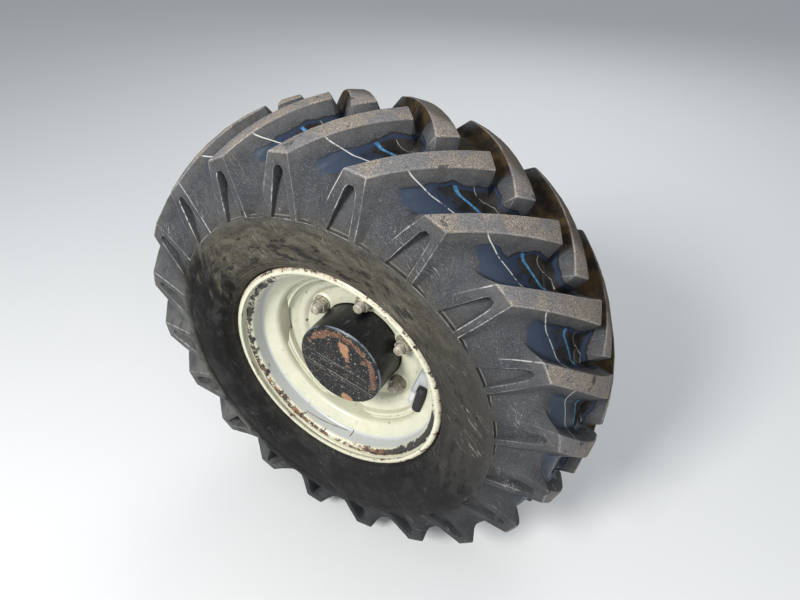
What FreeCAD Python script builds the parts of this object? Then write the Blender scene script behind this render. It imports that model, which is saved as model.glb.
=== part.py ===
import FreeCAD, Part
import math
import os

# Wheel end of a four-wheel-drive site dumper: the right front wheel with its lugged tyre, and the axle
# arm that carries it. Millimetres, +Z up, +X towards the front of the machine. The wheel turns about Y.
# The origin is the centre of the arm's bolting face, and the wheel lies outboard of it, towards -Y.
# "Out" is the distance outboard of that bolting face, so Y is minus "out". "x" is the distance outboard
# of the tyre's middle plane.

Vector = FreeCAD.Vector
AXIS = Vector(0, 1, 0)
ORIGIN = Vector(0, 0, 0)
margin = 2.0                  # how far a cutting tool stands out of what it cuts

# Tyre casing
tyre_middle_out = 520.0       # tyre's middle plane
casing_flats = 32             # flat facets round the casing
crown_radius = 449.0          # over the lugs, in the middle
shoulder_radius = 412.0       # over the lugs, at the edge of the tread
tread_half_width = 139.0
sidewall_half_width = 157.0
skirt_radius = 316.0          # where the lugs' skirts end on the sidewall
lower_wall_radius = 240.0     # where the sidewall turns in to the rim
lower_wall_half_width = 149.0
crown_thickness = 28.0
shoulder_thickness = 34.0
bead_width = 26.0
bead_height = 24.0
bead_heel_chamfer = 3.5
bead_gap = 0.3                # between the bead and the rim
flange_gap = 0.5              # between sidewall and the curl of the rim flange
flange_cover = 2.0            # how far the sidewall stands out past that flange
flange_cover_rise = 3.0

# Lugs: each runs from a shoulder forward to its nose, a little past the middle, with a skirt down the side
lug_count = 20
lug_first_angle = 82.1        # of one lug's rear corner at the shoulder
lug_height = 36.0             # in the middle of the tread
lug_shoulder_height = 27.0
lug_root = 4.0                # how far a lug reaches into the casing
lug_rear_sweep = 16.8         # degrees from its shoulder corner to where it crosses the middle plane
lug_front_sweep = 17.9
lug_rear_sag = 4.3            # degrees, how much each long edge bends
lug_front_sag = 2.6
lug_shoulder_width = 4.9      # degrees at the shoulder
lug_bend_x = 62.0             # where a lug's top bends, from the middle plane
nose_rear_x = -22.0           # the nose's corners, from the middle plane
nose_front_x = 8.0
nose_slope = 0.26             # run of the nose for each unit of its height
flank_slope = 0.40            # and of a flank, square to the lug
gap_edge_inset = 17.0         # edge of the gap's floor, inside the edge of the tread
gap_crest_inset = 39.0        # a bend in that floor, inside the edge of the tread
gap_crest_drop = 12.0         # and below the shoulder
skirt_rear_angle = 5.2        # corners of a skirt's end, from the lug's rear corner
skirt_front_angle = -6.5
skirt_flank = 3.0             # degrees of the skirt's rear flank at its end, and twice its front flank
skirt_proud = 6.5             # how far the sidewall stands out of the gap's floor where the skirts end
skirt_end_inset = 1.5         # of the skirts' faces there, inside the sidewall
pocket_top_drop = 20.0        # pocket in the skirt: its top, below the shoulder
pocket_top_angle = -2.3
pocket_rear_angle = 2.0       # and its lower corners
pocket_front_angle = -4.4

# Rim
bead_seat_radius = 194.0
bead_seat_half_width = 114.5  # to the face that the tyre bead leans on
bead_seat_width = 26.5
rim_flange_radius = 213.5
rim_flange_curl = 11.0        # height of its turned-down lip
rim_half_width = 132.0
rim_wall = 5.0
well_inside_radius = 160.0
well_outboard = 74.0          # ends of the well, from the tyre's middle plane
well_inboard = -74.0
curl_bend = 7.0               # bends of the sheet's middle line: curl, bead seat's two ends, well
seat_corner_bend = 6.0
seat_edge_bend = 8.0
well_bend = 10.0

# Wheel disc
disc_thickness = 10.0
disc_face_offset = 22.7       # mounting face, outboard of the tyre's middle plane
disc_bore_radius = 85.5
disc_flat_radius = 122.0
disc_step_rise = 7.0          # pressed ring round the flat: its rise, and its share of the way to the skirt
disc_step_share = 0.21
disc_land_rise = 9.0          # sloping land outside it
disc_land_share = 0.52
disc_turn_rise = 19.0         # where the land turns into the skirt
disc_edge_rise = 33.5         # skirt's edge, outboard of the middle of the flat
disc_step_bend = 6.0
disc_skirt_bend = 10.0
notch_count = 4
notch_depth = 12.5            # of each straight cut in the skirt
notch_floor_rise = 10.0       # where the cuts end, outboard of the nut face
notch_first_angle = 84.0

# Studs and nuts
stud_count = 6
stud_circle_radius = 102.5
stud_radius = 9.0
stud_first_angle = 22.0
stud_proud = 30.8             # beyond the nut face of the disc
stud_end_chamfer = 1.5
stud_clearance = 0.1
disc_hole_radius = 10.5
nut_across_flats = 27.0
nut_height = 17.0
nut_chamfer = 3.0
nut_chamfer_inset = 0.5       # its top circle, inside the flats
nut_collar_radius = 16.0
nut_collar_height = 4.0

# Hub
hub_flange_radius = 126.0
hub_flange_thickness = 22.0
hub_drum_radius = 96.0
hub_drum_length = 78.0        # inboard of the hub flange
hub_drum_taper = 6.0          # how much wider it is at the flange
hub_drum_chamfer = 6.0
hub_bore_radius = 62.0
hub_spigot_radius = 84.4
hub_spigot_length = 6.0
hub_cap_radius = 84.4
hub_cap_length = 80.0
hub_cap_wall = 6.0
hub_cap_chamfer = 3.0
hub_cap_inside_bend = 4.0

# Half shaft
shaft_radius = 24.0
shaft_flange_thickness = 12.0
shaft_flange_gap = 1.0        # between the shaft flange and the inside of the cap
shaft_end_inboard = 62.0      # how far the driven end stands out of the arm
shaft_end_chamfer = 3.0
spline_length = 55.0
spline_depth = 2.5
spline_count = 16

# Spindle and seal
spindle_clearance = 0.05
spindle_end_gap = 6.0         # to the half shaft's flange
spindle_end_chamfer = 3.0
spindle_bore_radius = 30.0
spindle_flange_radius = 98.0
spindle_flange_thickness = 16.0
seal_thickness = 7.0
seal_radius = 82.0
seal_taper = 2.0
seal_gap = 0.4                # running gap to the hub

# Axle arm
arm_flange_radius = 130.0
arm_flange_thickness = 20.0
arm_bolt_count = 12
arm_bolt_circle_radius = 114.0
arm_bolt_hole_radius = 6.75
arm_first_bolt_angle = 15.0
arm_spigot_radius = 95.0
arm_spigot_length = 6.0
arm_root_radius = 88.0
arm_neck_radius = 68.0        # where the cone behind the flange eases into the tube
arm_neck_out = 75.0
arm_tube_radius = 60.0
arm_taper_length = 120.0
arm_bore_radius = 44.0
arm_end_flange_thickness = 24.0
arm_end_cone_length = 46.0
arm_end_cone_drop = 18.0      # the cone's wide end, below the spindle flange's edge

# Saddle on top of the arm, which bolts under the chassis
saddle_out = 200.0
saddle_length = 150.0
saddle_width = 120.0
saddle_height = 92.0          # of its top face, above the wheel's axis
saddle_corner_radius = 14.0
saddle_bolt_spacing_x = 110.0
saddle_bolt_spacing_y = 80.0
saddle_hole_radius = 9.0
saddle_hole_depth = 26.0

# Valve, in the dish at one of the disc's notches
valve_angle = -13.0
valve_offset = 60.5           # outboard of the tyre's middle plane
valve_radius = 8.0
valve_tip_radius = 5.2
valve_neck = 3.0              # straight part of the stem in the rim's hole and past it
valve_length = 15.0           # of the stem, inside the well
valve_flange_radius = 9.2
valve_flange_thickness = 3.0
valve_flange_gap = 0.4
valve_hole_clearance = 0.2
valve_cap_radius = 6.0
valve_cap_length = 8.0
valve_cap_chamfer = 1.5

# Guard round the valve: an inner wall with a lip, closed by a slope at its upper end and open below
guard_angle = -12.0
guard_sheet = 3.0
guard_inner_gap = 28.0        # from the well's surface to the guard's inner wall
guard_lip = 12.0
guard_crown_offset = 80.0     # outboard of the tyre's middle plane
guard_open_length = 32.0      # from its middle to the open end
guard_crown_length = 10.0     # and to where the slope starts
guard_slope_length = 26.0
guard_slope_drop = 26.0

# Sizes that follow from those above
disc_mount_out = tyre_middle_out + disc_face_offset
disc_nut_face_out = disc_mount_out + disc_thickness
notch_depth_radius = well_inside_radius - notch_depth
guard_inner_radius = well_inside_radius - guard_inner_gap
hub_flange_inner_out = disc_mount_out - hub_flange_thickness
hub_inboard_out = hub_flange_inner_out - hub_drum_length
hub_face_out = disc_mount_out + hub_spigot_length
spindle_face_out = hub_inboard_out - seal_gap - seal_thickness
arm_end_out = spindle_face_out - spindle_flange_thickness
spindle_journal_radius = hub_bore_radius - spindle_clearance
gap_edge_x = tread_half_width - gap_edge_inset
gap_crest_x = tread_half_width - gap_crest_inset
gap_middle_radius = crown_radius - lug_height
gap_crest_radius = shoulder_radius - gap_crest_drop
gap_edge_radius = shoulder_radius - lug_shoulder_height


def at(out, radius):
    """Point of a section: distance outboard, and distance from the wheel's axis."""
    return Vector(radius, -out, 0)


def rounded_outline(corners):
    """Closed wire through (out, radius, bend) corners, each bend a tangent arc that fits its two sides."""
    count = len(corners)
    starts = []
    ends = []
    arcs = []
    for i, (out, radius, bend) in enumerate(corners):
        here = at(out, radius)
        before = at(*corners[i - 1][:2])
        after = at(*corners[(i + 1) % count][:2])
        shorter = min((before - here).Length, (after - here).Length)
        back = (before - here).normalize()
        ahead = (after - here).normalize()
        half_angle = back.getAngle(ahead) / 2
        reach = min(bend / math.tan(half_angle), 0.48 * shorter)
        if reach < 0.01 or half_angle > 1.57:
            starts.append(here)
            ends.append(here)
            arcs.append(None)
            continue
        arc_radius = reach * math.tan(half_angle)
        centre = here + (back + ahead).normalize() * (reach / math.cos(half_angle))
        middle = centre + (here - centre).normalize() * arc_radius
        start = here + back * reach
        end = here + ahead * reach
        starts.append(start)
        ends.append(end)
        arcs.append(Part.Arc(start, middle, end).toShape())
    edges = []
    for i in range(count):
        if arcs[i]:
            edges.append(arcs[i])
        following = starts[(i + 1) % count]
        if (following - ends[i]).Length > 0.001:
            edges.append(Part.LineSegment(ends[i], following).toShape())
    return Part.Wire(edges)


def turned(corners):
    """Solid of revolution about the wheel's axis, from a closed outline of (out, radius, bend)."""
    return Part.Face(rounded_outline(corners)).revolve(ORIGIN, AXIS, 360)


def plain(pairs):
    """The same corners with no bends."""
    return [(out, radius, 0) for out, radius in pairs]


def sheet_outline(line, wall):
    """Outline of a bent sheet, from the (out, radius, bend) corners of its middle line."""
    one_side = []
    other_side = []
    for i, (out, radius, bend) in enumerate(line):
        here = Vector(out, radius, 0)
        before = Vector(*line[max(i - 1, 0)][:2], 0)
        after = Vector(*line[min(i + 1, len(line) - 1)][:2], 0)
        arriving = (here - before) if i > 0 else (after - here)
        leaving = (after - here) if i < len(line) - 1 else (here - before)
        arriving.normalize()
        leaving.normalize()
        normal_in = Vector(-arriving.y, arriving.x, 0)
        normal_out = Vector(-leaving.y, leaving.x, 0)
        mitre = (normal_in + normal_out) / (1 + normal_in.dot(normal_out)) * (wall / 2)
        turn = arriving.cross(leaving).z
        inner = max(bend - wall / 2, 0.0)
        outer = bend + wall / 2 if bend > 0 else 0.0
        left = here + mitre
        right = here - mitre
        one_side.append((left.x, left.y, inner if turn > 0 else outer))
        other_side.append((right.x, right.y, outer if turn > 0 else inner))
    return one_side + other_side[::-1]


def rod(radius, out_from, out_to, angle=0.0, ring=0.0):
    """Cylinder along the wheel's axis, on a ring about it."""
    x = ring * math.cos(math.radians(angle))
    z = ring * math.sin(math.radians(angle))
    return Part.makeCylinder(radius, out_to - out_from, Vector(x, -out_from, z), Vector(0, -1, 0))


def spin(shape, angle):
    """Copy of a shape turned about the wheel's axis; a positive angle lifts +X towards +Z."""
    copy = shape.copy()
    copy.rotate(ORIGIN, AXIS, -angle)
    return copy


def radial_turning(section, offset, angle):
    """Turned piece whose axis points at the wheel's axis: (distance from that axis, own radius)."""
    corners = [Vector(distance, 0, radius) for distance, radius in section]
    wire = Part.makePolygon(corners + corners[:1])
    piece = Part.Face(wire).revolve(ORIGIN, Vector(1, 0, 0), 360)
    piece.translate(Vector(0, -tyre_middle_out - offset, 0))
    return spin(piece, angle)


def around(count, first_angle=0.0):
    return [first_angle + 360.0 * k / count for k in range(count)]


def wheel_point(x, radius, angle):
    """Point at x outboard of the tyre's middle plane, and an angle above the front."""
    turn = math.radians(angle)
    return Vector(radius * math.cos(turn), -tyre_middle_out - x, radius * math.sin(turn))


def solid_of(flats):
    """Solid inside closed flat faces, each given by its corners."""
    faces = [Part.Face(Part.makePolygon([*corners, corners[0]])) for corners in flats]
    solid = Part.makeSolid(Part.makeShell(faces))
    if solid.Volume < 0:
        solid.reverse()
    return solid


def faceted_ring(outline, count):
    """Closed ring of flats about the wheel's axis, from a closed outline of (x, radius) that they touch."""
    outward = 1 / math.cos(math.pi / count)
    rings = [[wheel_point(x, radius * outward, angle) for x, radius in outline] for angle in around(count)]
    flats = []
    for near, far in zip(rings, rings[1:] + rings[:1]):
        for i in range(len(outline)):
            flats.append((near[i - 1], near[i], far[i], far[i - 1]))
    return solid_of(flats)


def faceted_loft(rings):
    """Closed solid of flat triangles through rings of as many points each."""
    flats = []
    for near, far in zip(rings, rings[1:]):
        for i in range(len(near)):
            flats += [(near[i - 1], near[i], far[i]), (near[i - 1], far[i], far[i - 1])]
    for ring, order in ((rings[0], 1), (rings[-1], -1)):
        for i in range(1, len(ring) - 1):
            flats.append((ring[0], ring[i], ring[i + 1])[::order])
    return solid_of(flats)


def lug_top(x):
    return crown_radius - (crown_radius - shoulder_radius) * (x / tread_half_width) ** 2


def gap_floor(x):
    """Radius of the floor between the lugs, x from the middle plane."""
    if abs(x) < gap_crest_x:
        return gap_middle_radius + (gap_crest_radius - gap_middle_radius) * abs(x) / gap_crest_x
    share = (abs(x) - gap_crest_x) / (gap_edge_x - gap_crest_x)
    return gap_crest_radius + (gap_edge_radius - gap_crest_radius) * share


def lug_edge(x, shoulder_angle, sweep, sag):
    share = x / tread_half_width
    return shoulder_angle - sweep + sweep * share + sag * share * (share - 1)


def lug_section(rear_x, front_x, nose_run=0.0):
    """Four corners of a lug across the tread: rear foot, rear edge, front edge, front foot."""
    rear = lug_edge(rear_x, 0.0, lug_rear_sweep, lug_rear_sag)
    front = lug_edge(front_x, -lug_shoulder_width, lug_front_sweep, lug_front_sag)
    corners = []
    for x, angle, side in ((rear_x, rear, 1), (front_x, front, -1)):
        low = gap_floor(x) - lug_root
        high = lug_top(x)
        # A lug crosses the tread at 45 degrees, so its flank runs longer round the wheel than square to it.
        run = math.degrees((high - low) * flank_slope * math.sqrt(2) / low)
        foot = (x - nose_run, low, angle + side * run - math.degrees(nose_run / low))
        edge = (x, high, angle)
        corners += [foot, edge] if side > 0 else [edge, foot]
    return corners


def lug_skirt_sections():
    """The same four corners at the shoulder and at the end of the skirt."""
    shoulder = lug_section(gap_edge_x, gap_edge_x)
    top = [
        (gap_edge_x - lug_root, gap_edge_radius - lug_root, shoulder[0][2]),
        (tread_half_width, shoulder_radius, 0.0),
        (tread_half_width, shoulder_radius, -lug_shoulder_width),
        (gap_edge_x - lug_root, gap_edge_radius - lug_root, shoulder[3][2]),
    ]
    end_radius = skirt_radius - lug_root
    face_x = sidewall_half_width - skirt_end_inset
    foot_x = sidewall_half_width - skirt_proud - lug_root
    bottom = [
        (foot_x, end_radius, skirt_rear_angle + skirt_flank),
        (face_x, end_radius, skirt_rear_angle),
        (face_x, end_radius, skirt_front_angle),
        (foot_x, end_radius, skirt_front_angle - skirt_flank / 2),
    ]
    return [top, bottom]


def pocket_cutter():
    """Wedge that cuts the pocket between the two legs of a skirt, down to the floor of the gaps."""
    top = shoulder_radius - pocket_top_drop
    low = skirt_radius - 2 * lug_root
    outline = [
        (low, pocket_rear_angle),
        (top, pocket_top_angle),
        (low, pocket_front_angle),
    ]
    outside = []
    inside = []
    for radius, angle in outline:
        face_share = (shoulder_radius - radius) / (shoulder_radius - skirt_radius)
        face_x = tread_half_width + (sidewall_half_width - skirt_end_inset - tread_half_width) * face_share
        floor_share = (gap_edge_radius - radius) / (gap_edge_radius - skirt_radius)
        floor_x = gap_edge_x + (sidewall_half_width - skirt_proud - gap_edge_x) * floor_share
        outside.append((face_x + margin, radius, angle))
        inside.append((floor_x - lug_root / 2, radius, angle))
    return [outside, inside]


def lug(side, turn):
    """One lug of a side: 1 outboard, -1 inboard, turned to its place."""
    def placed(ring):
        return [wheel_point(side * x, radius, angle + turn) for x, radius, angle in ring]

    across = [lug_section(nose_rear_x, nose_front_x, lug_height * nose_slope)]
    across.append(lug_section(lug_bend_x, lug_bend_x))
    body = faceted_loft([placed(ring) for ring in across + lug_skirt_sections()])
    return body.cut(faceted_loft([placed(ring) for ring in pocket_cutter()]))


def casing():
    """Casing of the tyre to the floor of the gaps, with its sidewalls, beads and air space."""
    flange_top = rim_flange_radius + flange_gap
    bead_face = bead_seat_half_width - bead_gap
    bead_bore = bead_seat_radius + bead_gap
    bead_toe = bead_face - bead_width
    half = [
        (0, gap_middle_radius),
        (gap_crest_x, gap_crest_radius),
        (gap_edge_x, gap_edge_radius),
        (sidewall_half_width - skirt_proud, skirt_radius),
        (sidewall_half_width, skirt_radius),
        (lower_wall_half_width, lower_wall_radius),
        (rim_half_width + flange_cover, flange_top + flange_cover_rise),
        (bead_face, flange_top),
        (bead_face, bead_bore + bead_heel_chamfer),
        (bead_face - bead_heel_chamfer, bead_bore),
        (bead_toe, bead_bore),
        (bead_toe, bead_bore + bead_height),
        (sidewall_half_width - shoulder_thickness, gap_edge_radius - shoulder_thickness),
        (0, gap_middle_radius - crown_thickness),
    ]
    return faceted_ring(half + [(-x, radius) for x, radius in half[-2:0:-1]], casing_flats)


def tyre():
    """Casing with a ring of lugs on each side, the two rings half a pitch apart."""
    pitch = 360.0 / lug_count
    lugs = [lug(1, turn) for turn in around(lug_count, lug_first_angle)]
    lugs += [lug(-1, turn) for turn in around(lug_count, lug_first_angle + pitch / 2)]
    return casing().multiFuse(lugs)


def rim_barrel():
    """Rolled rim: curled flanges, bead seats and the well, in one thickness."""
    seat = bead_seat_radius - rim_wall / 2
    face = bead_seat_half_width + rim_wall / 2
    well = well_inside_radius + rim_wall / 2
    curl = rim_flange_radius - rim_wall / 2
    lip = rim_half_width - rim_wall / 2
    outboard = [
        (lip, rim_flange_radius - rim_flange_curl, 0),
        (lip, curl, curl_bend),
        (face, curl, curl_bend),
        (face, seat, seat_corner_bend),
        (bead_seat_half_width - bead_seat_width, seat, seat_edge_bend),
        (well_outboard, well, well_bend),
    ]
    inboard = [(-x, r, b) for x, r, b in outboard[-2::-1]]
    line = outboard + [(well_inboard, well, well_bend)] + inboard
    barrel = turned(sheet_outline([(tyre_middle_out + x, r, b) for x, r, b in line], rim_wall))
    valve_hole = Part.makeCylinder(valve_radius + valve_hole_clearance, 3 * rim_wall,
                                   Vector(well_inside_radius - rim_wall, -tyre_middle_out - valve_offset, 0),
                                   Vector(1, 0, 0))
    return barrel.cut(spin(valve_hole, valve_angle))


def wheel_disc():
    """Dished disc with pressed rings and a skirt that is welded in the well, its edge cut by notches."""
    flat = disc_face_offset + disc_thickness / 2
    skirt = well_inside_radius - disc_thickness / 2
    ring_width = skirt - disc_flat_radius
    line = [
        (flat, disc_bore_radius, 0),
        (flat, disc_flat_radius, disc_step_bend),
        (flat + disc_step_rise, disc_flat_radius + ring_width * disc_step_share, disc_step_bend),
        (flat + disc_land_rise, disc_flat_radius + ring_width * disc_land_share, disc_skirt_bend),
        (flat + disc_turn_rise, skirt, disc_skirt_bend),
        (flat + disc_edge_rise, skirt, 0),
    ]
    disc = turned(sheet_outline([(tyre_middle_out + x, r, b) for x, r, b in line], disc_thickness))
    for angle in around(stud_count, stud_first_angle):
        hole = rod(disc_hole_radius, disc_mount_out - margin, disc_nut_face_out + margin, angle,
                   stud_circle_radius)
        disc = disc.cut(hole)
    cutter = Part.makeBox(notch_depth + margin, disc_edge_rise, 2 * well_inside_radius,
                          Vector(notch_depth_radius, -disc_nut_face_out - notch_floor_rise - disc_edge_rise,
                                 -well_inside_radius))
    for angle in around(notch_count, notch_first_angle):
        disc = disc.cut(spin(cutter, angle))
    return disc


def valve_stem():
    """Rubber-covered stem: a flange inside the tyre, and a tapered body that stands into the dish."""
    flange_face = well_inside_radius + rim_wall + valve_flange_gap
    section = [
        (flange_face + valve_flange_thickness, 0),
        (flange_face + valve_flange_thickness, valve_flange_radius),
        (flange_face, valve_flange_radius),
        (flange_face, valve_radius),
        (well_inside_radius - valve_neck, valve_radius),
        (well_inside_radius - valve_length, valve_tip_radius),
        (well_inside_radius - valve_length, 0),
    ]
    return radial_turning(section, valve_offset, valve_angle)


def valve_cap():
    top = well_inside_radius - valve_length
    section = [
        (top, 0),
        (top, valve_cap_radius),
        (top - valve_cap_length + valve_cap_chamfer, valve_cap_radius),
        (top - valve_cap_length, valve_cap_radius - valve_cap_chamfer),
        (top - valve_cap_length, 0),
    ]
    return radial_turning(section, valve_offset, valve_angle)


def guard_block(side_view, radius_from, radius_to):
    """Block from a side view of (distance along the rim, x), between two distances from the axis."""
    corners = [Vector(radius_from, -tyre_middle_out - x, along) for along, x in side_view]
    return Part.Face(Part.makePolygon(corners + corners[:1])).extrude(Vector(radius_to - radius_from, 0, 0))


def valve_guard(disc, barrel):
    """Bent sheet round the valve, its edges trimmed where they are welded to the disc and the well."""
    foot = disc_face_offset
    crown = guard_crown_offset
    slope_end = guard_crown_length + guard_slope_length
    outer_radius = well_inside_radius + rim_wall
    outside = [(-guard_open_length, foot), (-guard_open_length, crown), (guard_crown_length, crown),
               (slope_end, crown - guard_slope_drop), (slope_end, foot)]
    inside = [(-guard_open_length - margin, foot - margin), (-guard_open_length - margin, crown - guard_sheet),
              (guard_crown_length - guard_sheet / 2, crown - guard_sheet),
              (slope_end - guard_sheet, crown - guard_slope_drop - guard_sheet / 2),
              (slope_end - guard_sheet, foot - margin)]
    mouth = [(-guard_open_length - margin, crown - 2 * guard_sheet),
             (-guard_open_length - margin, crown + margin),
             (guard_crown_length, crown + margin),
             (guard_crown_length, crown - 2 * guard_sheet)]
    hood = guard_block(outside, guard_inner_radius, outer_radius)
    hood = hood.cut(guard_block(inside, guard_inner_radius + guard_sheet, outer_radius + margin))
    hood = hood.cut(guard_block(mouth, guard_inner_radius + guard_lip, outer_radius + margin))
    pieces = spin(hood, guard_angle).cut(disc).cut(barrel).Solids
    return max(pieces, key=lambda piece: piece.Volume)


def hub_body():
    """Hub drum with the flange that the wheel is bolted to, bored for the spindle."""
    hub = turned(plain([
        (hub_inboard_out, hub_bore_radius),
        (hub_inboard_out, hub_drum_radius - hub_drum_chamfer),
        (hub_inboard_out + hub_drum_chamfer, hub_drum_radius),
        (hub_flange_inner_out, hub_drum_radius + hub_drum_taper),
        (hub_flange_inner_out, hub_flange_radius),
        (disc_mount_out, hub_flange_radius),
        (disc_mount_out, hub_spigot_radius),
        (hub_face_out, hub_spigot_radius),
        (hub_face_out, hub_bore_radius),
    ]))
    for angle in around(stud_count, stud_first_angle):
        seat = rod(stud_radius + stud_clearance, hub_flange_inner_out - margin, disc_mount_out + margin,
                   angle, stud_circle_radius)
        hub = hub.cut(seat)
    return hub


def hub_cap():
    """Round cup that closes the hub's outboard end."""
    face = hub_face_out + hub_cap_length
    return turned([
        (hub_face_out, hub_cap_radius - hub_cap_wall, 0),
        (hub_face_out, hub_cap_radius, 0),
        (face - hub_cap_chamfer, hub_cap_radius, 0),
        (face, hub_cap_radius - hub_cap_chamfer, 0),
        (face, 0, 0),
        (face - hub_cap_wall, 0, 0),
        (face - hub_cap_wall, hub_cap_radius - hub_cap_wall, hub_cap_inside_bend),
    ])


def half_shaft():
    """Drive shaft: a flange seated on the hub's outboard face, and a splined inboard end."""
    flange_radius = hub_cap_radius - hub_cap_wall - shaft_flange_gap
    shaft = turned(plain([
        (-shaft_end_inboard, 0),
        (-shaft_end_inboard, shaft_radius - shaft_end_chamfer),
        (-shaft_end_inboard + shaft_end_chamfer, shaft_radius),
        (hub_face_out, shaft_radius),
        (hub_face_out, flange_radius),
        (hub_face_out + shaft_flange_thickness, flange_radius),
        (hub_face_out + shaft_flange_thickness, 0),
    ]))
    tooth_gap = math.pi * shaft_radius / spline_count
    groove = Part.makeBox(spline_depth + margin, spline_length + margin, tooth_gap,
                          Vector(shaft_radius - spline_depth, shaft_end_inboard - spline_length, -tooth_gap / 2))
    for angle in around(spline_count):
        shaft = shaft.cut(spin(groove, angle))
    return shaft


def wheel_stud(angle):
    """Stud pressed into the hub's flange, its outer end chamfered."""
    end = disc_nut_face_out + stud_proud
    stud = turned(plain([
        (hub_flange_inner_out, 0),
        (hub_flange_inner_out, stud_radius),
        (end - stud_end_chamfer, stud_radius),
        (end, stud_radius - stud_end_chamfer),
        (end, 0),
    ]))
    stud.translate(Vector(stud_circle_radius, 0, 0))
    return spin(stud, angle)


def wheel_nut(angle):
    """Hexagon nut on a round collar, its top corners turned off."""
    seat = disc_nut_face_out
    top = seat + nut_height
    corner_radius = nut_across_flats / math.sqrt(3)
    corners = [at(seat, 0) + Vector(corner_radius * math.cos(math.radians(a)), 0,
                                    corner_radius * math.sin(math.radians(a))) for a in around(6)]
    hexagon = Part.Face(Part.makePolygon(corners + corners[:1])).extrude(Vector(0, seat - top, 0))
    turned_form = turned(plain([
        (seat, 0),
        (seat, corner_radius + margin),
        (top - nut_chamfer, corner_radius + margin),
        (top, nut_across_flats / 2 - nut_chamfer_inset),
        (top, 0),
    ]))
    collar = rod(nut_collar_radius, seat, seat + nut_collar_height)
    nut = hexagon.common(turned_form).fuse(collar)
    nut = nut.cut(rod(stud_radius + stud_clearance, seat - margin, top + margin)).removeSplitter()
    nut.translate(Vector(stud_circle_radius, 0, 0))
    return spin(nut, angle)


def spindle():
    """Stub that the hub turns on, with the flange that bolts it to the arm."""
    end = hub_face_out - spindle_end_gap
    return turned(plain([
        (arm_end_out, spindle_bore_radius),
        (arm_end_out, spindle_flange_radius),
        (spindle_face_out, spindle_flange_radius),
        (spindle_face_out, spindle_journal_radius),
        (end - spindle_end_chamfer, spindle_journal_radius),
        (end, spindle_journal_radius - spindle_end_chamfer),
        (end, spindle_bore_radius),
    ]))


def seal_ring():
    return turned(plain([
        (spindle_face_out, hub_bore_radius),
        (spindle_face_out, seal_radius),
        (spindle_face_out + seal_thickness, seal_radius - seal_taper),
        (spindle_face_out + seal_thickness, hub_bore_radius),
    ]))


def axle_arm():
    """Cast arm: bolting flange and spigot, tapered tube, saddle for the chassis, and the spindle's flange."""
    end_flange_out = arm_end_out - arm_end_flange_thickness
    arm = turned(plain([
        (-arm_spigot_length, arm_bore_radius),
        (-arm_spigot_length, arm_spigot_radius),
        (0, arm_spigot_radius),
        (0, arm_flange_radius),
        (arm_flange_thickness, arm_flange_radius),
        (arm_flange_thickness, arm_root_radius),
        (arm_neck_out, arm_neck_radius),
        (arm_taper_length, arm_tube_radius),
        (end_flange_out - arm_end_cone_length, arm_tube_radius),
        (end_flange_out, spindle_flange_radius - arm_end_cone_drop),
        (end_flange_out, spindle_flange_radius),
        (arm_end_out, spindle_flange_radius),
        (arm_end_out, arm_bore_radius),
    ]))
    saddle = Part.makeBox(saddle_length, saddle_width, saddle_height,
                          Vector(-saddle_length / 2, -saddle_out - saddle_width / 2, 0))
    corner_edges = [e for e in saddle.Edges if abs(e.tangentAt(e.FirstParameter).z) > 0.9]
    saddle = saddle.makeFillet(saddle_corner_radius, corner_edges)
    bore = rod(arm_bore_radius, saddle_out - saddle_width / 2 - margin, saddle_out + saddle_width / 2 + margin)
    arm = arm.fuse(saddle.cut(bore)).removeSplitter()
    for angle in around(arm_bolt_count, arm_first_bolt_angle):
        arm = arm.cut(rod(arm_bolt_hole_radius, -margin, arm_flange_thickness + margin, angle,
                          arm_bolt_circle_radius))
    for side_x in (-1, 1):
        for side_y in (-1, 1):
            corner = Vector(side_x * saddle_bolt_spacing_x / 2,
                            -saddle_out + side_y * saddle_bolt_spacing_y / 2,
                            saddle_height - saddle_hole_depth)
            arm = arm.cut(Part.makeCylinder(saddle_hole_radius, saddle_hole_depth + margin, corner))
    return arm


def save(name, shape):
    shape.exportStep(f"parts/{name}.step")


def main():
    os.makedirs("parts", exist_ok=True)
    barrel = rim_barrel()
    disc = wheel_disc()
    save("tyre", tyre())
    save("rim_barrel", barrel)
    save("wheel_disc", disc)
    save("valve_stem", valve_stem())
    save("valve_cap", valve_cap())
    save("valve_guard", valve_guard(disc, barrel))
    save("hub_body", hub_body())
    save("hub_cap", hub_cap())
    save("half_shaft", half_shaft())
    for number, angle in enumerate(around(stud_count, stud_first_angle), start=1):
        save(f"wheel_stud_{number}", wheel_stud(angle))
        save(f"wheel_nut_{number}", wheel_nut(angle))
    save("spindle", spindle())
    save("seal_ring", seal_ring())
    save("axle_arm", axle_arm())


main()
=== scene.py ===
import math

import bmesh
import bpy
from mathutils import Matrix, Vector, noise


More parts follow.
